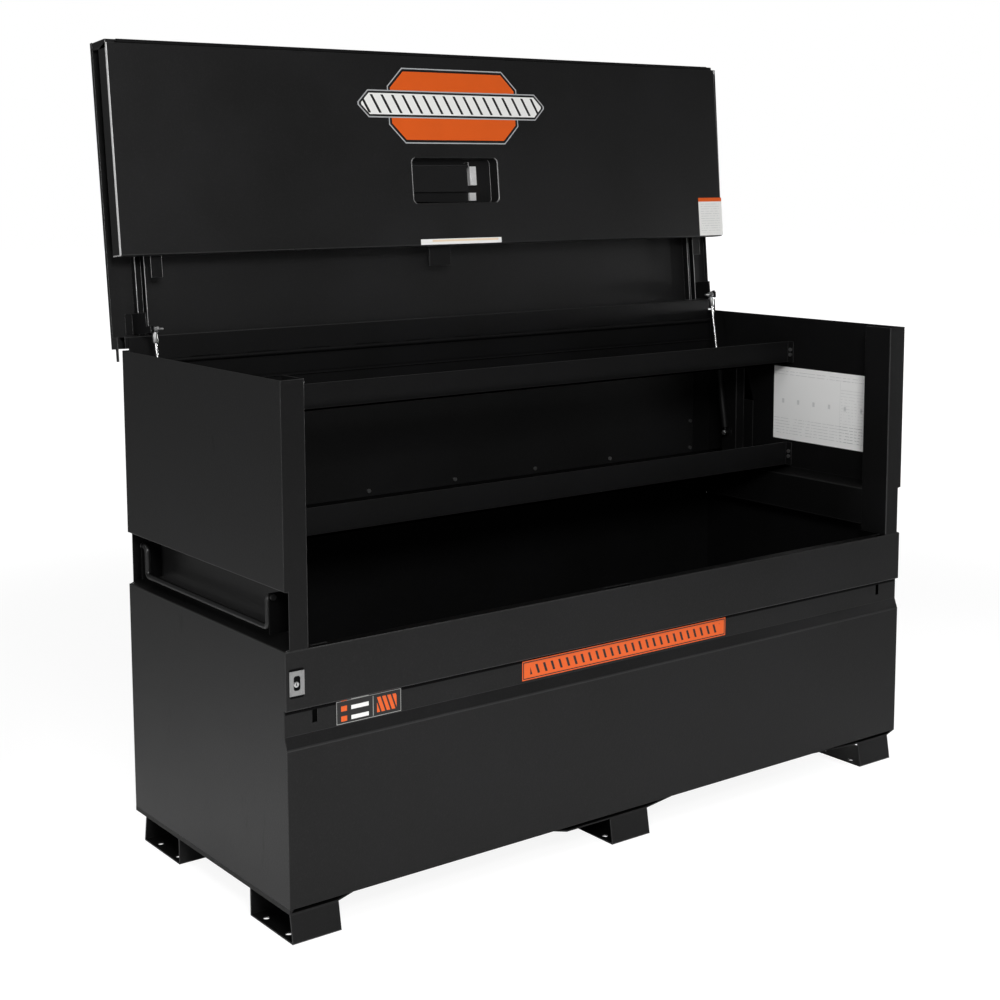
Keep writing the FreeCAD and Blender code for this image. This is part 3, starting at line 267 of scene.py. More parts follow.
def brightSteel(look):
    steel = Paint(look["name"], Metallic=look["metal"])
    streak = steel.noise(brushing["streak"], 2, 0.5, brushing["stretch"])
    spots = steel.noise(brushing["spots"], 3, 0.6)
    steel.join("Base Color", steel.mix(spots, grey(look["level"] * brushing["dark"]), grey(look["level"])))
    smoothest = look["rough"] - brushing["spotRough"]
    rough = streak * brushing["streakRough"] + spots * brushing["spotRough"] + smoothest
    steel.join("Roughness", rough)
    steel.join("Normal", steel.bump(streak, brushing["grain"]))
    return steel.material


finish = {name: powderCoat(name + "Coat", look) for name, look in coats.items()}
finish.update({name: brightSteel(look) for name, look in steels.items()})
print("finishes made")


# pieces

def pickOnly(piece):
    bpy.ops.object.select_all(action="DESELECT")
    piece.select_set(True)
    bpy.context.view_layer.objects.active = piece


def paint(piece, material):
    piece.data.materials.clear()
    piece.data.materials.append(material)


def settle(piece):  # its place, turn and size go into its mesh
    pickOnly(piece)
    bpy.ops.object.transform_apply(location=True, rotation=True, scale=True)


# sheets: copies of the solids with their folds and cut edges rounded

bends = {
    "fold": 0.0026, "rim": 0.0007, "inside": 0.0005,  # radii of folds, cut edges and inner corners
    "broad": 0.0042, "share": 0.42,  # narrowest face with a fold, and most of a face that a radius takes
    "sharp": 28, "smooth": 35, "smoothShare": 1.25,  # degrees between faces
    "weld": 0.00002, "flatness": math.radians(0.6), "flat": 0.004, "weight": 80, "segments": 3,
    "inward": 0.5,
}


def mergedCopy(name):
    piece = nodes[name].copy()
    piece.data = nodes[name].data.copy()
    piece.name = name + "_skin"
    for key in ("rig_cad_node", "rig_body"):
        del piece[key]
    bpy.context.scene.collection.objects.link(piece)
    piece.parent = None
    pickOnly(piece)
    bpy.ops.object.mode_set(mode="EDIT")
    bpy.ops.mesh.select_all(action="SELECT")
    bpy.ops.mesh.remove_doubles(threshold=bends["weld"])
    bpy.ops.mesh.dissolve_limited(angle_limit=bends["flatness"])
    bpy.ops.object.mode_set(mode="OBJECT")
    return piece


def meetAcross(x):  # the flat faces round an opening meet on an upright plane through it
    bpy.ops.object.mode_set(mode="EDIT")
    bpy.ops.mesh.select_all(action="SELECT")
    bpy.ops.mesh.bisect(plane_co=(x, 0, 0), plane_no=(1, 0, 0))
    bpy.ops.mesh.mark_seam()
    bpy.ops.mesh.select_all(action="SELECT")
    bpy.ops.mesh.dissolve_limited(angle_limit=bends["flatness"], delimit={"SEAM"})
    bpy.ops.object.mode_set(mode="OBJECT")


def facesByEdge(mesh):
    pairs = {}
    for face in mesh.polygons:
        for key in face.edge_keys:
            pairs.setdefault(key, []).append(face.index)
    return pairs


def faceWidths(mesh, pairs, sharp):  # how broad the smooth surface is that each face belongs to
    group = list(range(len(mesh.polygons)))

    def root(index):
        while group[index] != index:
            group[index] = group[group[index]]
            index = group[index]
        return index

    rims = {}
    for key, touching in pairs.items():
        first = mesh.polygons[touching[0]]
        if len(touching) == 2 and first.normal.angle(mesh.polygons[touching[1]].normal) < sharp:
            group[root(touching[1])] = root(touching[0])
        else:
            rims[key] = (mesh.vertices[key[0]].co - mesh.vertices[key[1]].co).length
    areas = {}
    lengths = {}
    for face in mesh.polygons:
        areas[root(face.index)] = areas.get(root(face.index), 0) + face.area
    for key, length in rims.items():
        for index in pairs[key]:
            lengths[root(index)] = lengths.get(root(index), 0) + length
    roots = [root(face.index) for face in mesh.polygons]
    return [2 * areas[index] / lengths.get(index, 1e-9) for index in roots]


def weighBends(mesh, fold, rim, sharp):  # each edge's radius, as a share of the fold's
    pairs = facesByEdge(mesh)
    widths = faceWidths(mesh, pairs, sharp)
    weights = mesh.attributes.new("bevel_weight_edge", "FLOAT", "EDGE")
    for edge in mesh.edges:
        touching = pairs.get(edge.key, [])
        if len(touching) != 2:
            continue
        first, second = (mesh.polygons[index] for index in touching)
        if first.normal.angle(second.normal) < sharp:
            continue
        outside = (second.center - first.center).dot(first.normal) < 0
        width = min(widths[index] for index in touching)
        radius = rim
        if outside and width > bends["broad"]:
            radius = fold
        if not outside:
            radius = min(rim, bends["inside"])
        weights.data[edge.index].value = min(radius, width * bends["share"]) / fold


def keepWithin(mesh, low, high):  # no rounded corner reaches past the sheet it was cut from
    for vertex in mesh.vertices:
        for axis in range(3):
            vertex.co[axis] = min(max(vertex.co[axis], low[axis]), high[axis])


def flattenNormals(mesh):  # the corners of broad flat faces all face the same way
    normals = [Vector(corner.vector) for corner in mesh.corner_normals]
    for face in mesh.polygons:
        if face.area > bends["flat"]:
            for corner in face.loop_indices:
                normals[corner] = face.normal.copy()
    mesh.normals_split_custom_set(normals)


def dressNode(name, coat, slot, fold=bends["fold"], rim=bends["rim"], inside=None, bend="bend",
              sharp=bends["sharp"], cut=None):
    piece = mergedCopy(name)
    if cut is not None:
        meetAcross(cut)
    mesh = piece.data
    sharp = math.radians(sharp)
    weighBends(mesh, fold, rim, sharp)
    low, high = ([pick(vertex.co[axis] for vertex in mesh.vertices) for axis in range(3)]
                 for pick in (min, max))
    bevel = piece.modifiers.new("bends", "BEVEL")
    bevel.limit_method = "WEIGHT"
    bevel.width = fold
    bevel.segments = bends["segments"]
    bevel.use_clamp_overlap = False
    # the rounded faces take the bend slot's coat; the default bend coat is lighter, a painted highlight
    bevel.material = 1
    paint(piece, finish[coat])
    mesh.materials.append(finish[bend])
    mesh.materials.append(finish["inner"])
    bpy.ops.object.modifier_apply(modifier="bends")
    keepWithin(piece.data, low, high)
    smooth = min(math.radians(bends["smooth"]), sharp * bends["smoothShare"])
    bpy.ops.object.shade_smooth_by_angle(angle=smooth)
    if inside:  # faces that look into the box take the inner coat, a darker copy of the same black: painted shade
        for face in piece.data.polygons:
            if face.material_index == 0 and face.normal.dot(Vector(inside)) > bends["inward"]:
                face.material_index = 2
    even = piece.modifiers.new("even", "WEIGHTED_NORMAL")
    even.keep_sharp = True
    even.weight = bends["weight"]
    bpy.ops.object.modifier_apply(modifier="even")
    flattenNormals(piece.data)
    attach(piece, nodes[name]["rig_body"])
    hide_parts(name)


cupLow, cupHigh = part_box("latch_cup")
outerSheet = {"coat": "outer", "slot": "black_coat", "sharp": 14}
# sheets inside the box take the inner coat: painted shade
shadedInnerSheet = {"coat": "inner", "slot": "dark_coat"}
# stiffeners and hooks: the inner coat, painted shade, with painted highlights on their folds
shadedSheetHighlightedFolds = {"coat": "inner", "slot": "dark_coat", "fold": 0.0018, "rim": 0.0012, "bend": "brightBend"}
footSheet = {"coat": "feet", "slot": "foot_coat", "fold": 0.004, "rim": 0.001}
sheets = {
    "front_panel": {**outerSheet, "coat": "front", "inside": (0, 1, 0)},
    "rear_panel": {**outerSheet, "inside": (0, -1, 0)},
    "side_panel_left": {**outerSheet, "inside": (1, 0, 0)},
    "side_panel_right": {**outerSheet, "inside": (-1, 0, 0)},
    "lid_panel": outerSheet,
    "lid_top_beam": outerSheet,
    # the corner posts take a darker copy of the coat: painted shade
    "corner_post_left": {"coat": "post", "slot": "black_coat"},
    "corner_post_right": {"coat": "post", "slot": "black_coat"},
    "floor_pan": shadedInnerSheet,
    "rear_header": shadedInnerSheet,
    "upper_shelf": shadedInnerSheet,
    "lower_shelf": shadedInnerSheet,
    "strut_channel_left": shadedInnerSheet,
    "strut_channel_right": shadedInnerSheet,
    "lid_rear_rail": shadedInnerSheet,
    "lid_strut_plate_left": shadedInnerSheet,
    "lid_strut_plate_right": shadedInnerSheet,
    "catch_guide": shadedInnerSheet,
    "centre_catch": shadedInnerSheet,
    "lid_stiffener_left": shadedSheetHighlightedFolds,
    "lid_stiffener_right": shadedSheetHighlightedFolds,
    "corner_hook_left": shadedSheetHighlightedFolds,
    "corner_hook_right": shadedSheetHighlightedFolds,
    "foot_front_left": footSheet,
    "foot_front_middle": footSheet,
    "foot_front_right": footSheet,
    "foot_rear_left": footSheet,
    "foot_rear_middle": footSheet,
    "foot_rear_right": footSheet,
    # the bail brackets sit in the recess's shade and take the darkest coat: painted shade
    "bail_brackets_left": {"coat": "pit", "slot": "dark_coat", "bend": "pit"},
    "bail_brackets_right": {"coat": "pit", "slot": "dark_coat", "bend": "pit"},
    "leaf_panel": {"coat": "outer", "slot": "black_coat", "fold": 0.0046, "rim": 0.0009,
                   "bend": "brightBend", "cut": (cupLow.x + cupHigh.x) / 2},
    "shelf_back_panel": {"coat": "panel", "slot": "dark_coat"},
    "port_plate": {"coat": "satin", "slot": "bare_steel", "fold": 0.0016, "rim": 0.0003, "bend": "satin"},
    "latch_cup": {"coat": "panel", "slot": "dark_coat", "fold": 0.0034, "rim": 0.0008, "bend": "brightBend"},
    "latch_handle": {"coat": "fittings", "slot": "dark_coat", "fold": 0.0016, "rim": 0.0006},
}
for name, look in sheets.items():
    dressNode(name, **look)

plain = {
    "smooth": 30,
    "finishes": {
        # the hinge leaves and strut tubes take the inner coat: painted shade
        "rear_hinge_leaf": "inner", "lid_hinge_leaf": "inner", "beam_hinge_leaf": "inner",
        "leaf_hinge_leaf": "inner", "rear_hinge_pin": "fittings", "leaf_hinge_pin": "fittings",
        "shelf_screws": "zinc", "lock_plate": "lock", "strut_rod_left": "chrome",
        "strut_rod_right": "chrome", "strut_tube_left": "inner", "strut_tube_right": "inner",
        "bail_left": "fittings", "bail_right": "fittings", "cross_rails": "feet",
    },
}
for name, coat in plain["finishes"].items():
    paint(nodes[name], finish[coat])
    pickOnly(nodes[name])
    bpy.ops.object.shade_smooth_by_angle(angle=math.radians(plain["smooth"]))
print("sheet metal dressed")


# printed films, with plain marks only

inks = {
    "orange": (0.74, 0.105, 0.008, 1),
    "white": (0.84, 0.84, 0.82, 1),
    "card": (0.9, 0.9, 0.89, 1),
    "black": (0.006, 0.006, 0.006, 1),
    "cream": (0.82, 0.66, 0.48, 1),
    "line": (0.42, 0.43, 0.44, 1),
}
gloss = {"specular": 0.45, "haze": 45, "hazeRough": 0.16, "rough": 0.26, "dimples": 160, "depth": 0.00012}


def filmPaint(name):
    film = Paint(name, Specular_IOR_Level=gloss["specular"])
    haze = film.noise(gloss["haze"], 4, 0.6)
    film.join("Roughness", haze * gloss["hazeRough"] + gloss["rough"])
    film.join("Normal", film.bump(film.noise(gloss["dimples"], 3, 0.6), gloss["depth"]))
    return film


def wallFilm(name, across):  # an upright film, with its distances from the left and from below
    film = filmPaint(name)
    low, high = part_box(name)
    axis = "XYZ".index(across)
    side = film.place(across) - low[axis]
    rise = film.place("Z") - low.z
    return film, side, rise, high[axis] - low[axis], high.z - low.z


def lidFilm(name):
    film = filmPaint(name)
    low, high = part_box(name)
    side = film.place("X") - low.x
    rise = film.along(lidUp, low)
    return film, side, rise, high.x - low.x, (high.z - low.z) / lidUp.z


def between(value, low, high):
    return value.above(low) * value.below(high)


def frameMask(side, rise, long, tall, inset, width):
    outer = between(side, inset, long - inset) * between(rise, inset, tall - inset)
    far = inset + width
    inner = between(side, far, long - far) * between(rise, far, tall - far)
    return outer - inner


strip = {"inset": 0.0022, "line": 0.0024, "slant": 0.35, "step": 0.0215, "bar": (0.004, 0.0105),
         "rows": (0.26, 0.74), "start": 0.022, "end": 0.02}


def accentStrip():
    film, side, rise, long, tall = wallFilm("accent_strip", "X")
    low, high = strip["rows"]
    step = (side + rise * strip["slant"]).wrapped(strip["step"])
    bar = between(step, *strip["bar"]) * between(rise, tall * low, tall * high)
    inside = between(side, strip["start"], long - strip["end"])
    border = frameMask(side, rise, long, tall, strip["inset"], strip["line"])
    marks = (bar * inside + border).clamped()
    film.join("Base Color", film.mix(marks, inks["orange"], inks["black"]))
    return film.material


tag = {"row": 0.42, "mark": (0.012, 0.026), "markRise": (0.006, 0.017), "bar": (0.036, 0.078),
       "barRise": (0.007, 0.0155), "split": (0.088, 0.0895), "splitEnd": 0.004, "block": 0.098,
       "blockEnd": 0.012, "blockRim": 0.009, "slant": 0.35, "step": 0.0125, "slat": 0.0085,
       "inset": 0.001, "line": 0.0012, "faint": 0.4}


def frontTag():
    film, side, rise, long, tall = wallFilm("front_tag", "X")
    row = rise.wrapped(tall * tag["row"])
    mark = between(side, *tag["mark"]) * between(row, *tag["markRise"])
    bar = between(side, *tag["bar"]) * between(row, *tag["barRise"])
    split = between(side, *tag["split"]) * between(rise, tag["splitEnd"], tall - tag["splitEnd"])
    block = between(side, tag["block"], long - tag["blockEnd"])
    block = block * between(rise, tag["blockRim"], tall - tag["blockRim"])
    slats = between((side + rise * tag["slant"]).wrapped(tag["step"]), 0, tag["slat"])
    border = frameMask(side, rise, long, tall, tag["inset"], tag["line"])
    pale = (bar + border * tag["faint"] + split * tag["faint"]).clamped()
    base = film.mix(pale, inks["black"], inks["white"])
    film.join("Base Color", film.mix((mark + block * slats).clamped(), base, inks["orange"]))
    return film.material


card = {"words": 150, "stretch": (1, 1, 0.2), "wordShare": 0.44, "row": 0.0082, "rowTall": 0.0014,
        "foot": (0.01, 0.3), "head": (0.86, 0.012), "column": (0.006, 0.26), "columnRise": (0.08, 0.8),
        "spotStep": 0.17, "spot": (0.01, 0.018), "spotRise": (0.5, 0.56), "frameLift": 0.06,
        "frameLong": 0.28, "frameTall": 0.86, "frameInset": 0.004, "frameLine": 0.0009,
        "rowInk": 0.5, "columnInk": 0.35, "spotInk": 0.45, "frameInk": 0.35}


def wallCard():
    film, side, rise, long, tall = wallFilm("wall_card", "Y")
    words = film.noise(card["words"], 1, 0.4, card["stretch"]).above(card["wordShare"])
    rows = between(rise.wrapped(card["row"]), 0, card["rowTall"]) * words
    foot = between(rise, card["foot"][0], tall * card["foot"][1])
    head = between(rise, tall * card["head"][0], tall - card["head"][1])
    low, high = card["columnRise"]
    column = between(side, card["column"][0], long * card["column"][1])
    column = column * between(rise, tall * low, tall * high)
    low, high = card["spotRise"]
    spots = between(side.wrapped(long * card["spotStep"]), *card["spot"])
    spots = spots * between(rise, tall * low, tall * high)
    edge = frameMask(side, rise - tall * card["frameLift"], long * card["frameLong"],
                     tall * card["frameTall"], card["frameInset"], card["frameLine"])
    text = (rows * ((foot + head) * card["rowInk"] + column * card["columnInk"])).clamped()
    marks = (text + spots * card["spotInk"] + edge * card["frameInk"]).clamped()
    film.join("Base Color", film.mix(marks, inks["card"], inks["line"]))
    return film.material


edgeLine = {"rise": (0.5, 0.85), "start": 0.035, "end": 0.01}


def edgeStrip():
    film, side, rise, long, tall = lidFilm("leaf_edge_strip")
    low, high = edgeLine["rise"]
    line = between(rise, tall * low, tall * high) * between(side, edgeLine["start"], long - edgeLine["end"])
    film.join("Base Color", film.mix(line, inks["white"], inks["cream"]))
    return film.material


leafTag = {"header": 0.9, "row": 0.0068, "rowTall": 0.0016, "start": 0.008, "end": 0.01, "foot": 0.008,
           "head": 0.84, "words": 190, "wordShare": 0.42, "ink": 0.5}


def cornerTag():
    film, side, rise, long, tall = lidFilm("leaf_corner_tag")
    header = rise.above(tall * leafTag["header"])
    words = film.noise(leafTag["words"], 1, 0.4).above(leafTag["wordShare"])
    rows = between(rise.wrapped(leafTag["row"]), 0, leafTag["rowTall"])
    rows = rows * between(side, leafTag["start"], long - leafTag["end"])
    rows = rows * between(rise, leafTag["foot"], tall * leafTag["head"]) * words
    base = film.mix(rows * leafTag["ink"], inks["white"], inks["line"])
    film.join("Base Color", film.mix(header, base, inks["orange"]))
    return film.material


filmMakers = {"accent_strip": accentStrip, "front_tag": frontTag, "wall_card": wallCard,
              "leaf_edge_strip": edgeStrip, "leaf_corner_tag": cornerTag}
for name, maker in filmMakers.items():
    paint(nodes[name], maker())
print("films printed")


# thin plates that face the front, with their four corners cut or rounded

plates = {"weld": 0.00001, "cut": 1, "rounded": 4}  # segments of a cut and of a rounded corner


def frontPlate(name, size, corner, segments):  # in metres
    bpy.ops.mesh.primitive_cube_add(size=1)
    piece = bpy.context.object
    piece.name = name
    piece.scale = size
    bpy.ops.object.transform_apply(location=False, rotation=False, scale=True)
    bpy.ops.object.mode_set(mode="EDIT")
    bpy.ops.mesh.select_mode(type="EDGE")
    bpy.ops.mesh.select_all(action="DESELECT")
    bpy.ops.object.mode_set(mode="OBJECT")
    for edge in piece.data.edges:
        first, second = (piece.data.vertices[index].co for index in edge.vertices)
        edge.select = abs((first - second).y) > size[1] / 2
    bpy.ops.object.mode_set(mode="EDIT")
    bpy.ops.mesh.bevel(offset=corner, segments=segments, affect="EDGES")
    bpy.ops.mesh.select_all(action="SELECT")
    bpy.ops.mesh.remove_doubles(threshold=plates["weld"])
    bpy.ops.object.mode_set(mode="OBJECT")
    return piece


# the leaf's badge: an orange plate with a pale bar across it, in mm

badge = {
    "middle": 8, "face": -45,
    "plate": {"rise": 588.5, "long": 402, "tall": 187, "corner": 46, "thick": 0.1, "layer": 0.1,
              "margins": {"line": 0, "black": 3, "orange": 9}},
    "bar": {"rise": 592, "long": 579, "tall": 68, "corner": 0.45, "thick": 0.36, "layer": 0.05,
            "margins": {"line": 0, "black": 3, "white": 8}},
    "slash": {"step": 0.031, "wide": 0.0075, "slant": 0.55, "tall": 0.33},
    "cornerMargin": 0.6, "endMargin": 2.6,
    "tint": 12, "tintDark": 0.9,
}


def badgeInk(ink):
    film = filmPaint("badge_" + ink)
    darker = tuple(channel * badge["tintDark"] for channel in inks[ink][:3]) + (1,)
    film.join("Base Color", film.mix(film.noise(badge["tint"], 3, 0.6), darker, inks[ink]))
    return film.material


def barInk():  # pale, with slanted dark marks
    film = filmPaint("badge_white")
    slash = badge["slash"]
    slanted = film.place("X") + film.along(lidUp, lid["hinge"]) * slash["slant"]
    middle = film.along(lidUp, onLid(0, 0, badge["bar"]["rise"])).size()
    marks = between(slanted.wrapped(slash["step"]), 0, slash["wide"])
    marks = marks * middle.below(badge["bar"]["tall"] / 1000 * slash["tall"])
    film.join("Base Color", film.mix(marks, inks["white"], inks["black"]))
    return film.material


def badgePlate(name, rise, long, tall, corner, thick, material):
    piece = frontPlate(name, (long / 1000, thick / 1000, tall / 1000), corner / 1000, plates["cut"])
    piece.location = onLid(badge["middle"], badge["face"] - thick / 2, rise)
    piece.rotation_euler.x = -lid["lean"]
    settle(piece)
    paint(piece, material)
    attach(piece, "front_leaf")
    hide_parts("leaf_badge")


def makeBadge():
    films = {ink: badgeInk(ink) for ink in ("line", "black", "orange")}
    films["white"] = barInk()
    plate = badge["plate"]
    for index, (ink, margin) in enumerate(plate["margins"].items()):
        badgePlate("badge_plate_" + ink, plate["rise"], plate["long"] - 2 * margin,
                   plate["tall"] - 2 * margin, plate["corner"] - margin * badge["cornerMargin"],
                   plate["thick"] + plate["layer"] * index, films[ink])
    bar = badge["bar"]
    for index, (ink, margin) in enumerate(bar["margins"].items()):
        tall = bar["tall"] - 2 * margin
        badgePlate("badge_bar_" + ink, bar["rise"], bar["long"] - badge["endMargin"] * margin, tall,
                   tall * bar["corner"], bar["thick"] + bar["layer"] * index, films[ink])


makeBadge()
print("badge made")


# small turned parts

def turned(name, profile, at, direction, sides, material, body):  # profile: (along, radius) in mm
    bpy.ops.mesh.primitive_circle_add(vertices=sides, radius=profile[0][1] / 1000, fill_type="NGON",
                                      location=(0, 0, profile[0][0] / 1000), rotation=(0, 0, math.pi / 2))
    piece = bpy.context.object
    piece.name = name
    settle(piece)
    bpy.ops.object.mode_set(mode="EDIT")
    bpy.ops.mesh.select_mode(type="FACE")
    bpy.ops.mesh.select_all(action="SELECT")
    for (before, narrow), (along, wide) in zip(profile, profile[1:]):
        bpy.ops.mesh.extrude_region()
        bpy.ops.transform.translate(value=(0, 0, (along - before) / 1000))
        bpy.ops.transform.resize(value=(wide / narrow, wide / narrow, 1), center_override=(0, 0, 0))
    bpy.ops.mesh.select_all(action="SELECT")
    bpy.ops.mesh.normals_make_consistent(inside=False)
    bpy.ops.object.mode_set(mode="OBJECT")
    piece.location = at
    piece.rotation_euler = Vector(direction).to_track_quat("Z", "Y").to_euler()
    settle(piece)
    bpy.ops.object.shade_smooth_by_angle(angle=math.radians(bends["smooth"]))
    paint(piece, material)
    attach(piece, body)


threadSteps = [(0.5 + step * 0.5, 3.4 if step % 2 else 2.9) for step in range(22)]
strut = {
    "pivot": (861, -51.3, 73.4), "eye": 8, "start": 0.0072, "gap": 0.0002, "nutTall": 0.0051,
    "socketSides": 28, "nutSides": 6, "threadSides": 24,
    "socket": [(0, 4.2), (0, 5.6), (0.6, 6.2), (3, 6.2), (3.4, 5.5), (4.4, 5.5), (4.8, 6.2), (23, 6.2),
               (24.5, 5.2), (25.5, 3.7)],
    "nut": [(0, 6.4), (0.5, 7.2), (4.6, 7.2), (5.2, 6.4)],
    "thread": [(0, 3.4)] + threadSteps + [(11.8, 2.4)],
}


def makeStrutEnds():
    for side, where in ((-1, "left"), (1, "right")):
        x, out, up = strut["pivot"]
        pivot = onLid(side * x, out, up)
        foot = Vector(joints["strut_swing_" + where]["pos_m"])
        down = (foot - pivot).normalized()
        inward = Vector((-side, 0, 0))
        beside = inward * (strut["eye"] / 2000 + strut["gap"])
        turned("strut_socket_" + where, strut["socket"], pivot + down * strut["start"], down,
               strut["socketSides"], finish["satin"], "strut_rod_" + where)
        turned("strut_nut_" + where, strut["nut"], pivot + beside, inward,
               strut["nutSides"], finish["satin"], "lid")
        turned("strut_thread_" + where, strut["thread"], pivot + beside + inward * strut["nutTall"],
               inward, strut["threadSides"], finish["satin"], "lid")
        turned("strut_foot_nut_" + where, strut["nut"], foot + beside, inward,
               strut["nutSides"], finish["zinc"], "box")


# plates on the front, all in the darkest coat: painted shade in the lock's window and key slot, a painted
# shadow rim round the lock plate, and a painted shadow strip under the front band's lip

def wallPlate(name, low, high, corner):
    size = Vector(high) - Vector(low)
    piece = frontPlate(name, size, corner, plates["rounded"])
    piece.location = (Vector(low) + Vector(high)) / 2
    settle(piece)
    bpy.ops.object.shade_smooth_by_angle(angle=math.radians(bends["smooth"]))
    # every wall plate takes the darkest coat: painted shade
    paint(piece, finish["pit"])
    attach(piece, "box")


port = {
    "sink": 0.001, "window": (0.0148, 0.0298), "windowCorner": 0.005, "windowThick": 0.0003,
    "gasket": 0.005, "gasketIn": 0.001, "gasketCorner": 0.003, "gasketBack": (0.0007, 0.0001),
    "lock": (-0.0014, -0.002), "lockSides": 32,
    "barrel": [(0, 5.4), (0.4, 6.0), (1.0, 6.0), (1.3, 5.5), (1.3, 3.6), (1.0, 3.4)],
    "slot": (0.0008, 0.0026), "slotFront": (0.0013, 0.0009), "slotCorner": 0.0003,
}


def makePortLock():
    low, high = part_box("port_plate")
    middle = (low + high) / 2
    floorY = high.y - port["sink"]
    wide, tall = port["window"]
    # a dark plate on the pocket's floor round the lock: painted shade
    wallPlate("port_window", (middle.x - wide / 2, floorY - port["windowThick"], middle.z - tall / 2),
              (middle.x + wide / 2, floorY, middle.z + tall / 2), port["windowCorner"])
    # a dark plate behind the lock plate shows as a rim above and below it: painted shadow
    front, back = port["gasketBack"]
    wallPlate("port_gasket", (low.x + port["gasketIn"], high.y - front, low.z - port["gasket"]),
              (high.x - port["gasketIn"], high.y - back, high.z + port["gasket"]), port["gasketCorner"])
    across, up = port["lock"]
    at = Vector((middle.x + across, floorY, middle.z + up))
    turned("port_lock", port["barrel"], at, (0, -1, 0), port["lockSides"], finish["chrome"], "box")
    # a dark plate on the lock's face for its key slot: painted shade
    wide, tall = port["slot"]
    front, back = port["slotFront"]
    wallPlate("port_key_slot", (at.x - wide, floorY - front, at.z - tall),
              (at.x + wide, floorY - back, at.z + tall), port["slotCorner"])


rebate = {"lip": 0.478, "tall": 0.0085, "ends": 0.003, "front": 0.0004, "back": 0.00005, "corner": 0.0001}


# a dark strip under the front band's lip: painted shadow
def makeRebateShadowStrip():
    low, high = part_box("front_panel")
    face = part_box("front_tag")[1].y
    wallPlate("rebate_gap", (low.x + rebate["ends"], face - rebate["front"], rebate["lip"] - rebate["tall"]),
              (high.x - rebate["ends"], face - rebate["back"], rebate["lip"]), rebate["corner"])


makeStrutEnds()
makePortLock()
makeRebateShadowStrip()
print("small parts made")


# stage, lamps and camera

stage = {
    "floor": 60.0, "white": 0.82, "rough": 0.7, "specular": 0.2, "mottle": 1.5, "mottleDark": 0.985,
    "seen": 0.8, "glow": 1.13, "far": (5.0, 20.0),  # the glow that the camera sees, near and far
    "world": 0.17, "reflected": 0.13,
}


def makeFloor():
    bpy.ops.mesh.primitive_plane_add(size=stage["floor"], location=(0, 0, 0))
    floor = bpy.context.object
    floor.name = "floor"
    ground = Paint("paleFloor", Roughness=stage["rough"], Specular_IOR_Level=stage["specular"])
    darker = grey(stage["white"] * stage["mottleDark"])
    mottle = ground.noise(stage["mottle"], 2, 0.5)
    ground.join("Base Color", ground.mix(mottle, grey(stage["white"]), darker))
    seenByCamera = ground.node("ShaderNodeLightPath", {}, out="Is Camera Ray")
    glow = ground.node("ShaderNodeEmission", {}, (grey(1.0), stage["glow"]))
    surface = Wire(ground, ground.shader.outputs[0])
    east = ground.place("X")
    north = ground.place("Y")
    away = (east * east + north * north).eased(*stage["far"])
    seen = seenByCamera * (away * (1.0 - stage["seen"]) + stage["seen"])
    mixed = ground.node("ShaderNodeMixShader", {}, (seen, surface, glow))
    out = ground.tree.nodes["Material Output"]
    ground.tree.links.new(mixed.socket, out.inputs["Surface"])
    paint(floor, ground.material)


def makeWorld():  # white to the camera, dim to everything else
    world = bpy.data.worlds.new("studio")
    bpy.context.scene.world = world
    world.use_nodes = True
    tree = world.node_tree
    paths = tree.nodes.new("ShaderNodeLightPath")
    shiny = tree.nodes.new("ShaderNodeMath")
    shiny.operation = "MAXIMUM"
    tree.links.new(paths.outputs["Is Glossy Ray"], shiny.inputs[0])
    tree.links.new(paths.outputs["Is Transmission Ray"], shiny.inputs[1])
    level = tree.nodes.new("ShaderNodeMapRange")
    level.inputs["To Min"].default_value = stage["world"]
    level.inputs["To Max"].default_value = stage["reflected"]
    tree.links.new(shiny.outputs[0], level.inputs["Value"])
    total = tree.nodes.new("ShaderNodeMath")
    total.operation = "MAXIMUM"
    tree.links.new(level.outputs[0], total.inputs[0])
    tree.links.new(paths.outputs["Is Camera Ray"], total.inputs[1])
    back = tree.nodes["Background"]
    back.inputs["Color"].default_value = (1, 1, 1, 1)
    tree.links.new(total.outputs[0], back.inputs["Strength"])


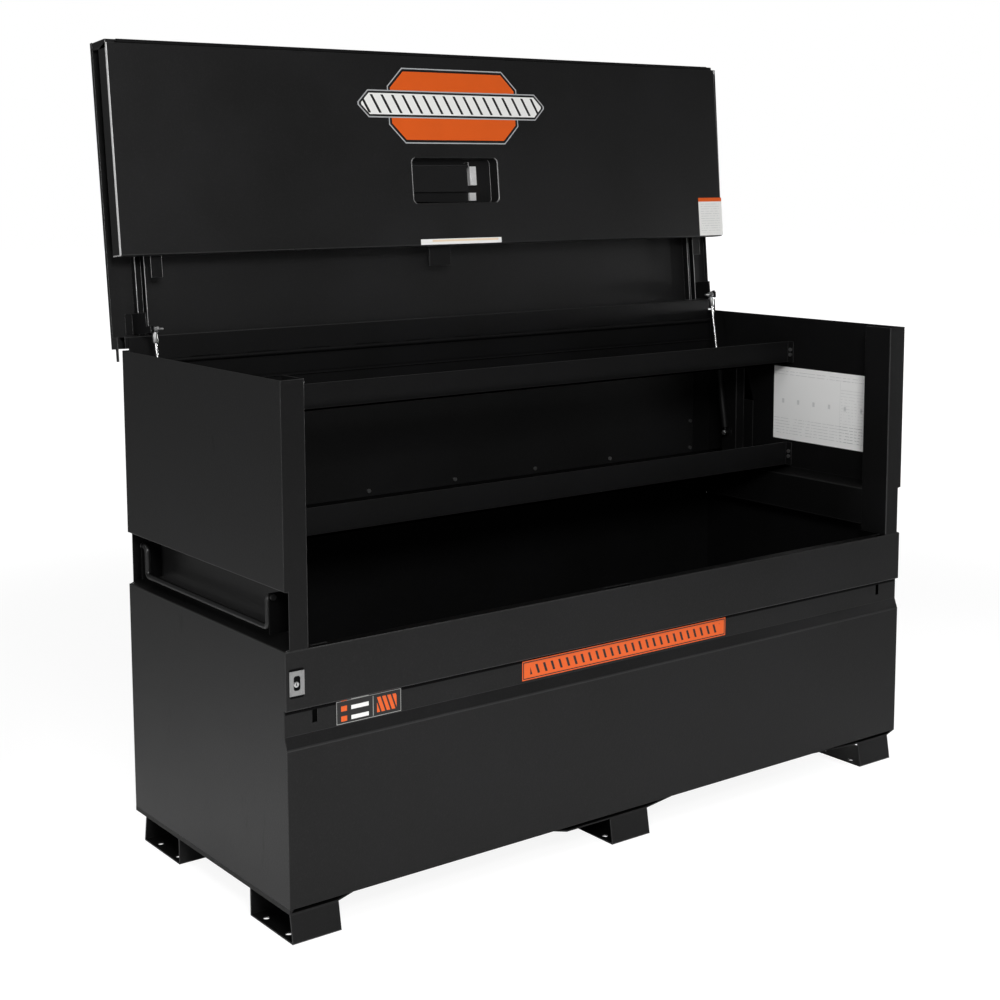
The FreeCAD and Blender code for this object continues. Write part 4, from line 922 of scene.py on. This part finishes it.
lamps = {
    "key": {"at": (-2.0, -3.5, 2.7), "to": (0.5, 0, 0.9), "wide": 1.2, "tall": 0.9, "power": 120},
    "leftStrip": {"at": (-3.6, -0.6, 1.35), "to": (0, 0, 1.1), "wide": 0.14, "tall": 1.9, "power": 28},
    "rightStrip": {"at": (3.6, -0.8, 1.1), "to": (0, 0, 0.9), "wide": 0.16, "tall": 1.8, "power": 8},
    "leftPool": {"at": (-1.8, 0.2, 1.9), "to": (-1.6, 0.2, 0), "wide": 0.7, "tall": 0.7, "power": 2,
                 "spread": 60},
    "frontTop": {"at": (0.0, -2.2, 3.4), "to": (0.0, -1.9, 0), "wide": 2.2, "tall": 1.6, "power": 25,
                 "spread": 95},
    "rearTop": {"at": (1.6, 2.6, 3.6), "to": (0, 0, 0.7), "wide": 2.4, "tall": 2.4, "power": 20},
    "rearFill": {"at": (1.3, 3.4, 1.5), "to": (0.2, 0.4, 1.1), "wide": 1.4, "tall": 0.8, "power": 24,
                 "spread": 45},
    "rightFill": {"at": (3.6, -0.1, 0.85), "to": (0.93, 0, 0.6), "wide": 0.8, "tall": 0.8, "power": 7,
                  "spread": 40},
}


def makeLamps():
    for name, lamp in lamps.items():
        at = Vector(lamp["at"])
        bpy.ops.object.light_add(type="AREA", location=at)
        light = bpy.context.object
        light.name = name
        light.data.shape = "RECTANGLE"
        light.data.size = lamp["wide"]
        light.data.size_y = lamp["tall"]
        light.data.energy = lamp["power"]
        light.data.spread = math.radians(lamp.get("spread", 180))
        light.rotation_euler = (Vector(lamp["to"]) - at).to_track_quat("-Z", "Y").to_euler()


view = {"at": (-2.5191, -3.232, 1.5326), "turn": -36.996, "tilt": 7.147, "roll": 0.157,
        "focal": 1694.3, "shift": -0.115, "frame": 1000, "sensor": 36.0, "far": 60}


def makeCamera():
    bpy.ops.object.camera_add(location=view["at"])
    camera = bpy.context.object
    camera.rotation_euler = (math.radians(90 - view["tilt"]), math.radians(view["roll"]),
                             math.radians(view["turn"]))
    camera.data.sensor_fit = "HORIZONTAL"
    camera.data.sensor_width = view["sensor"]
    camera.data.lens = view["focal"] / view["frame"] * view["sensor"]
    camera.data.shift_y = view["shift"]
    camera.data.clip_end = view["far"]
    bpy.context.scene.camera = camera


makeFloor()
makeWorld()
makeLamps()
makeCamera()
bpy.context.scene.view_settings.view_transform = "Standard"
print("stage, lamps and camera set")
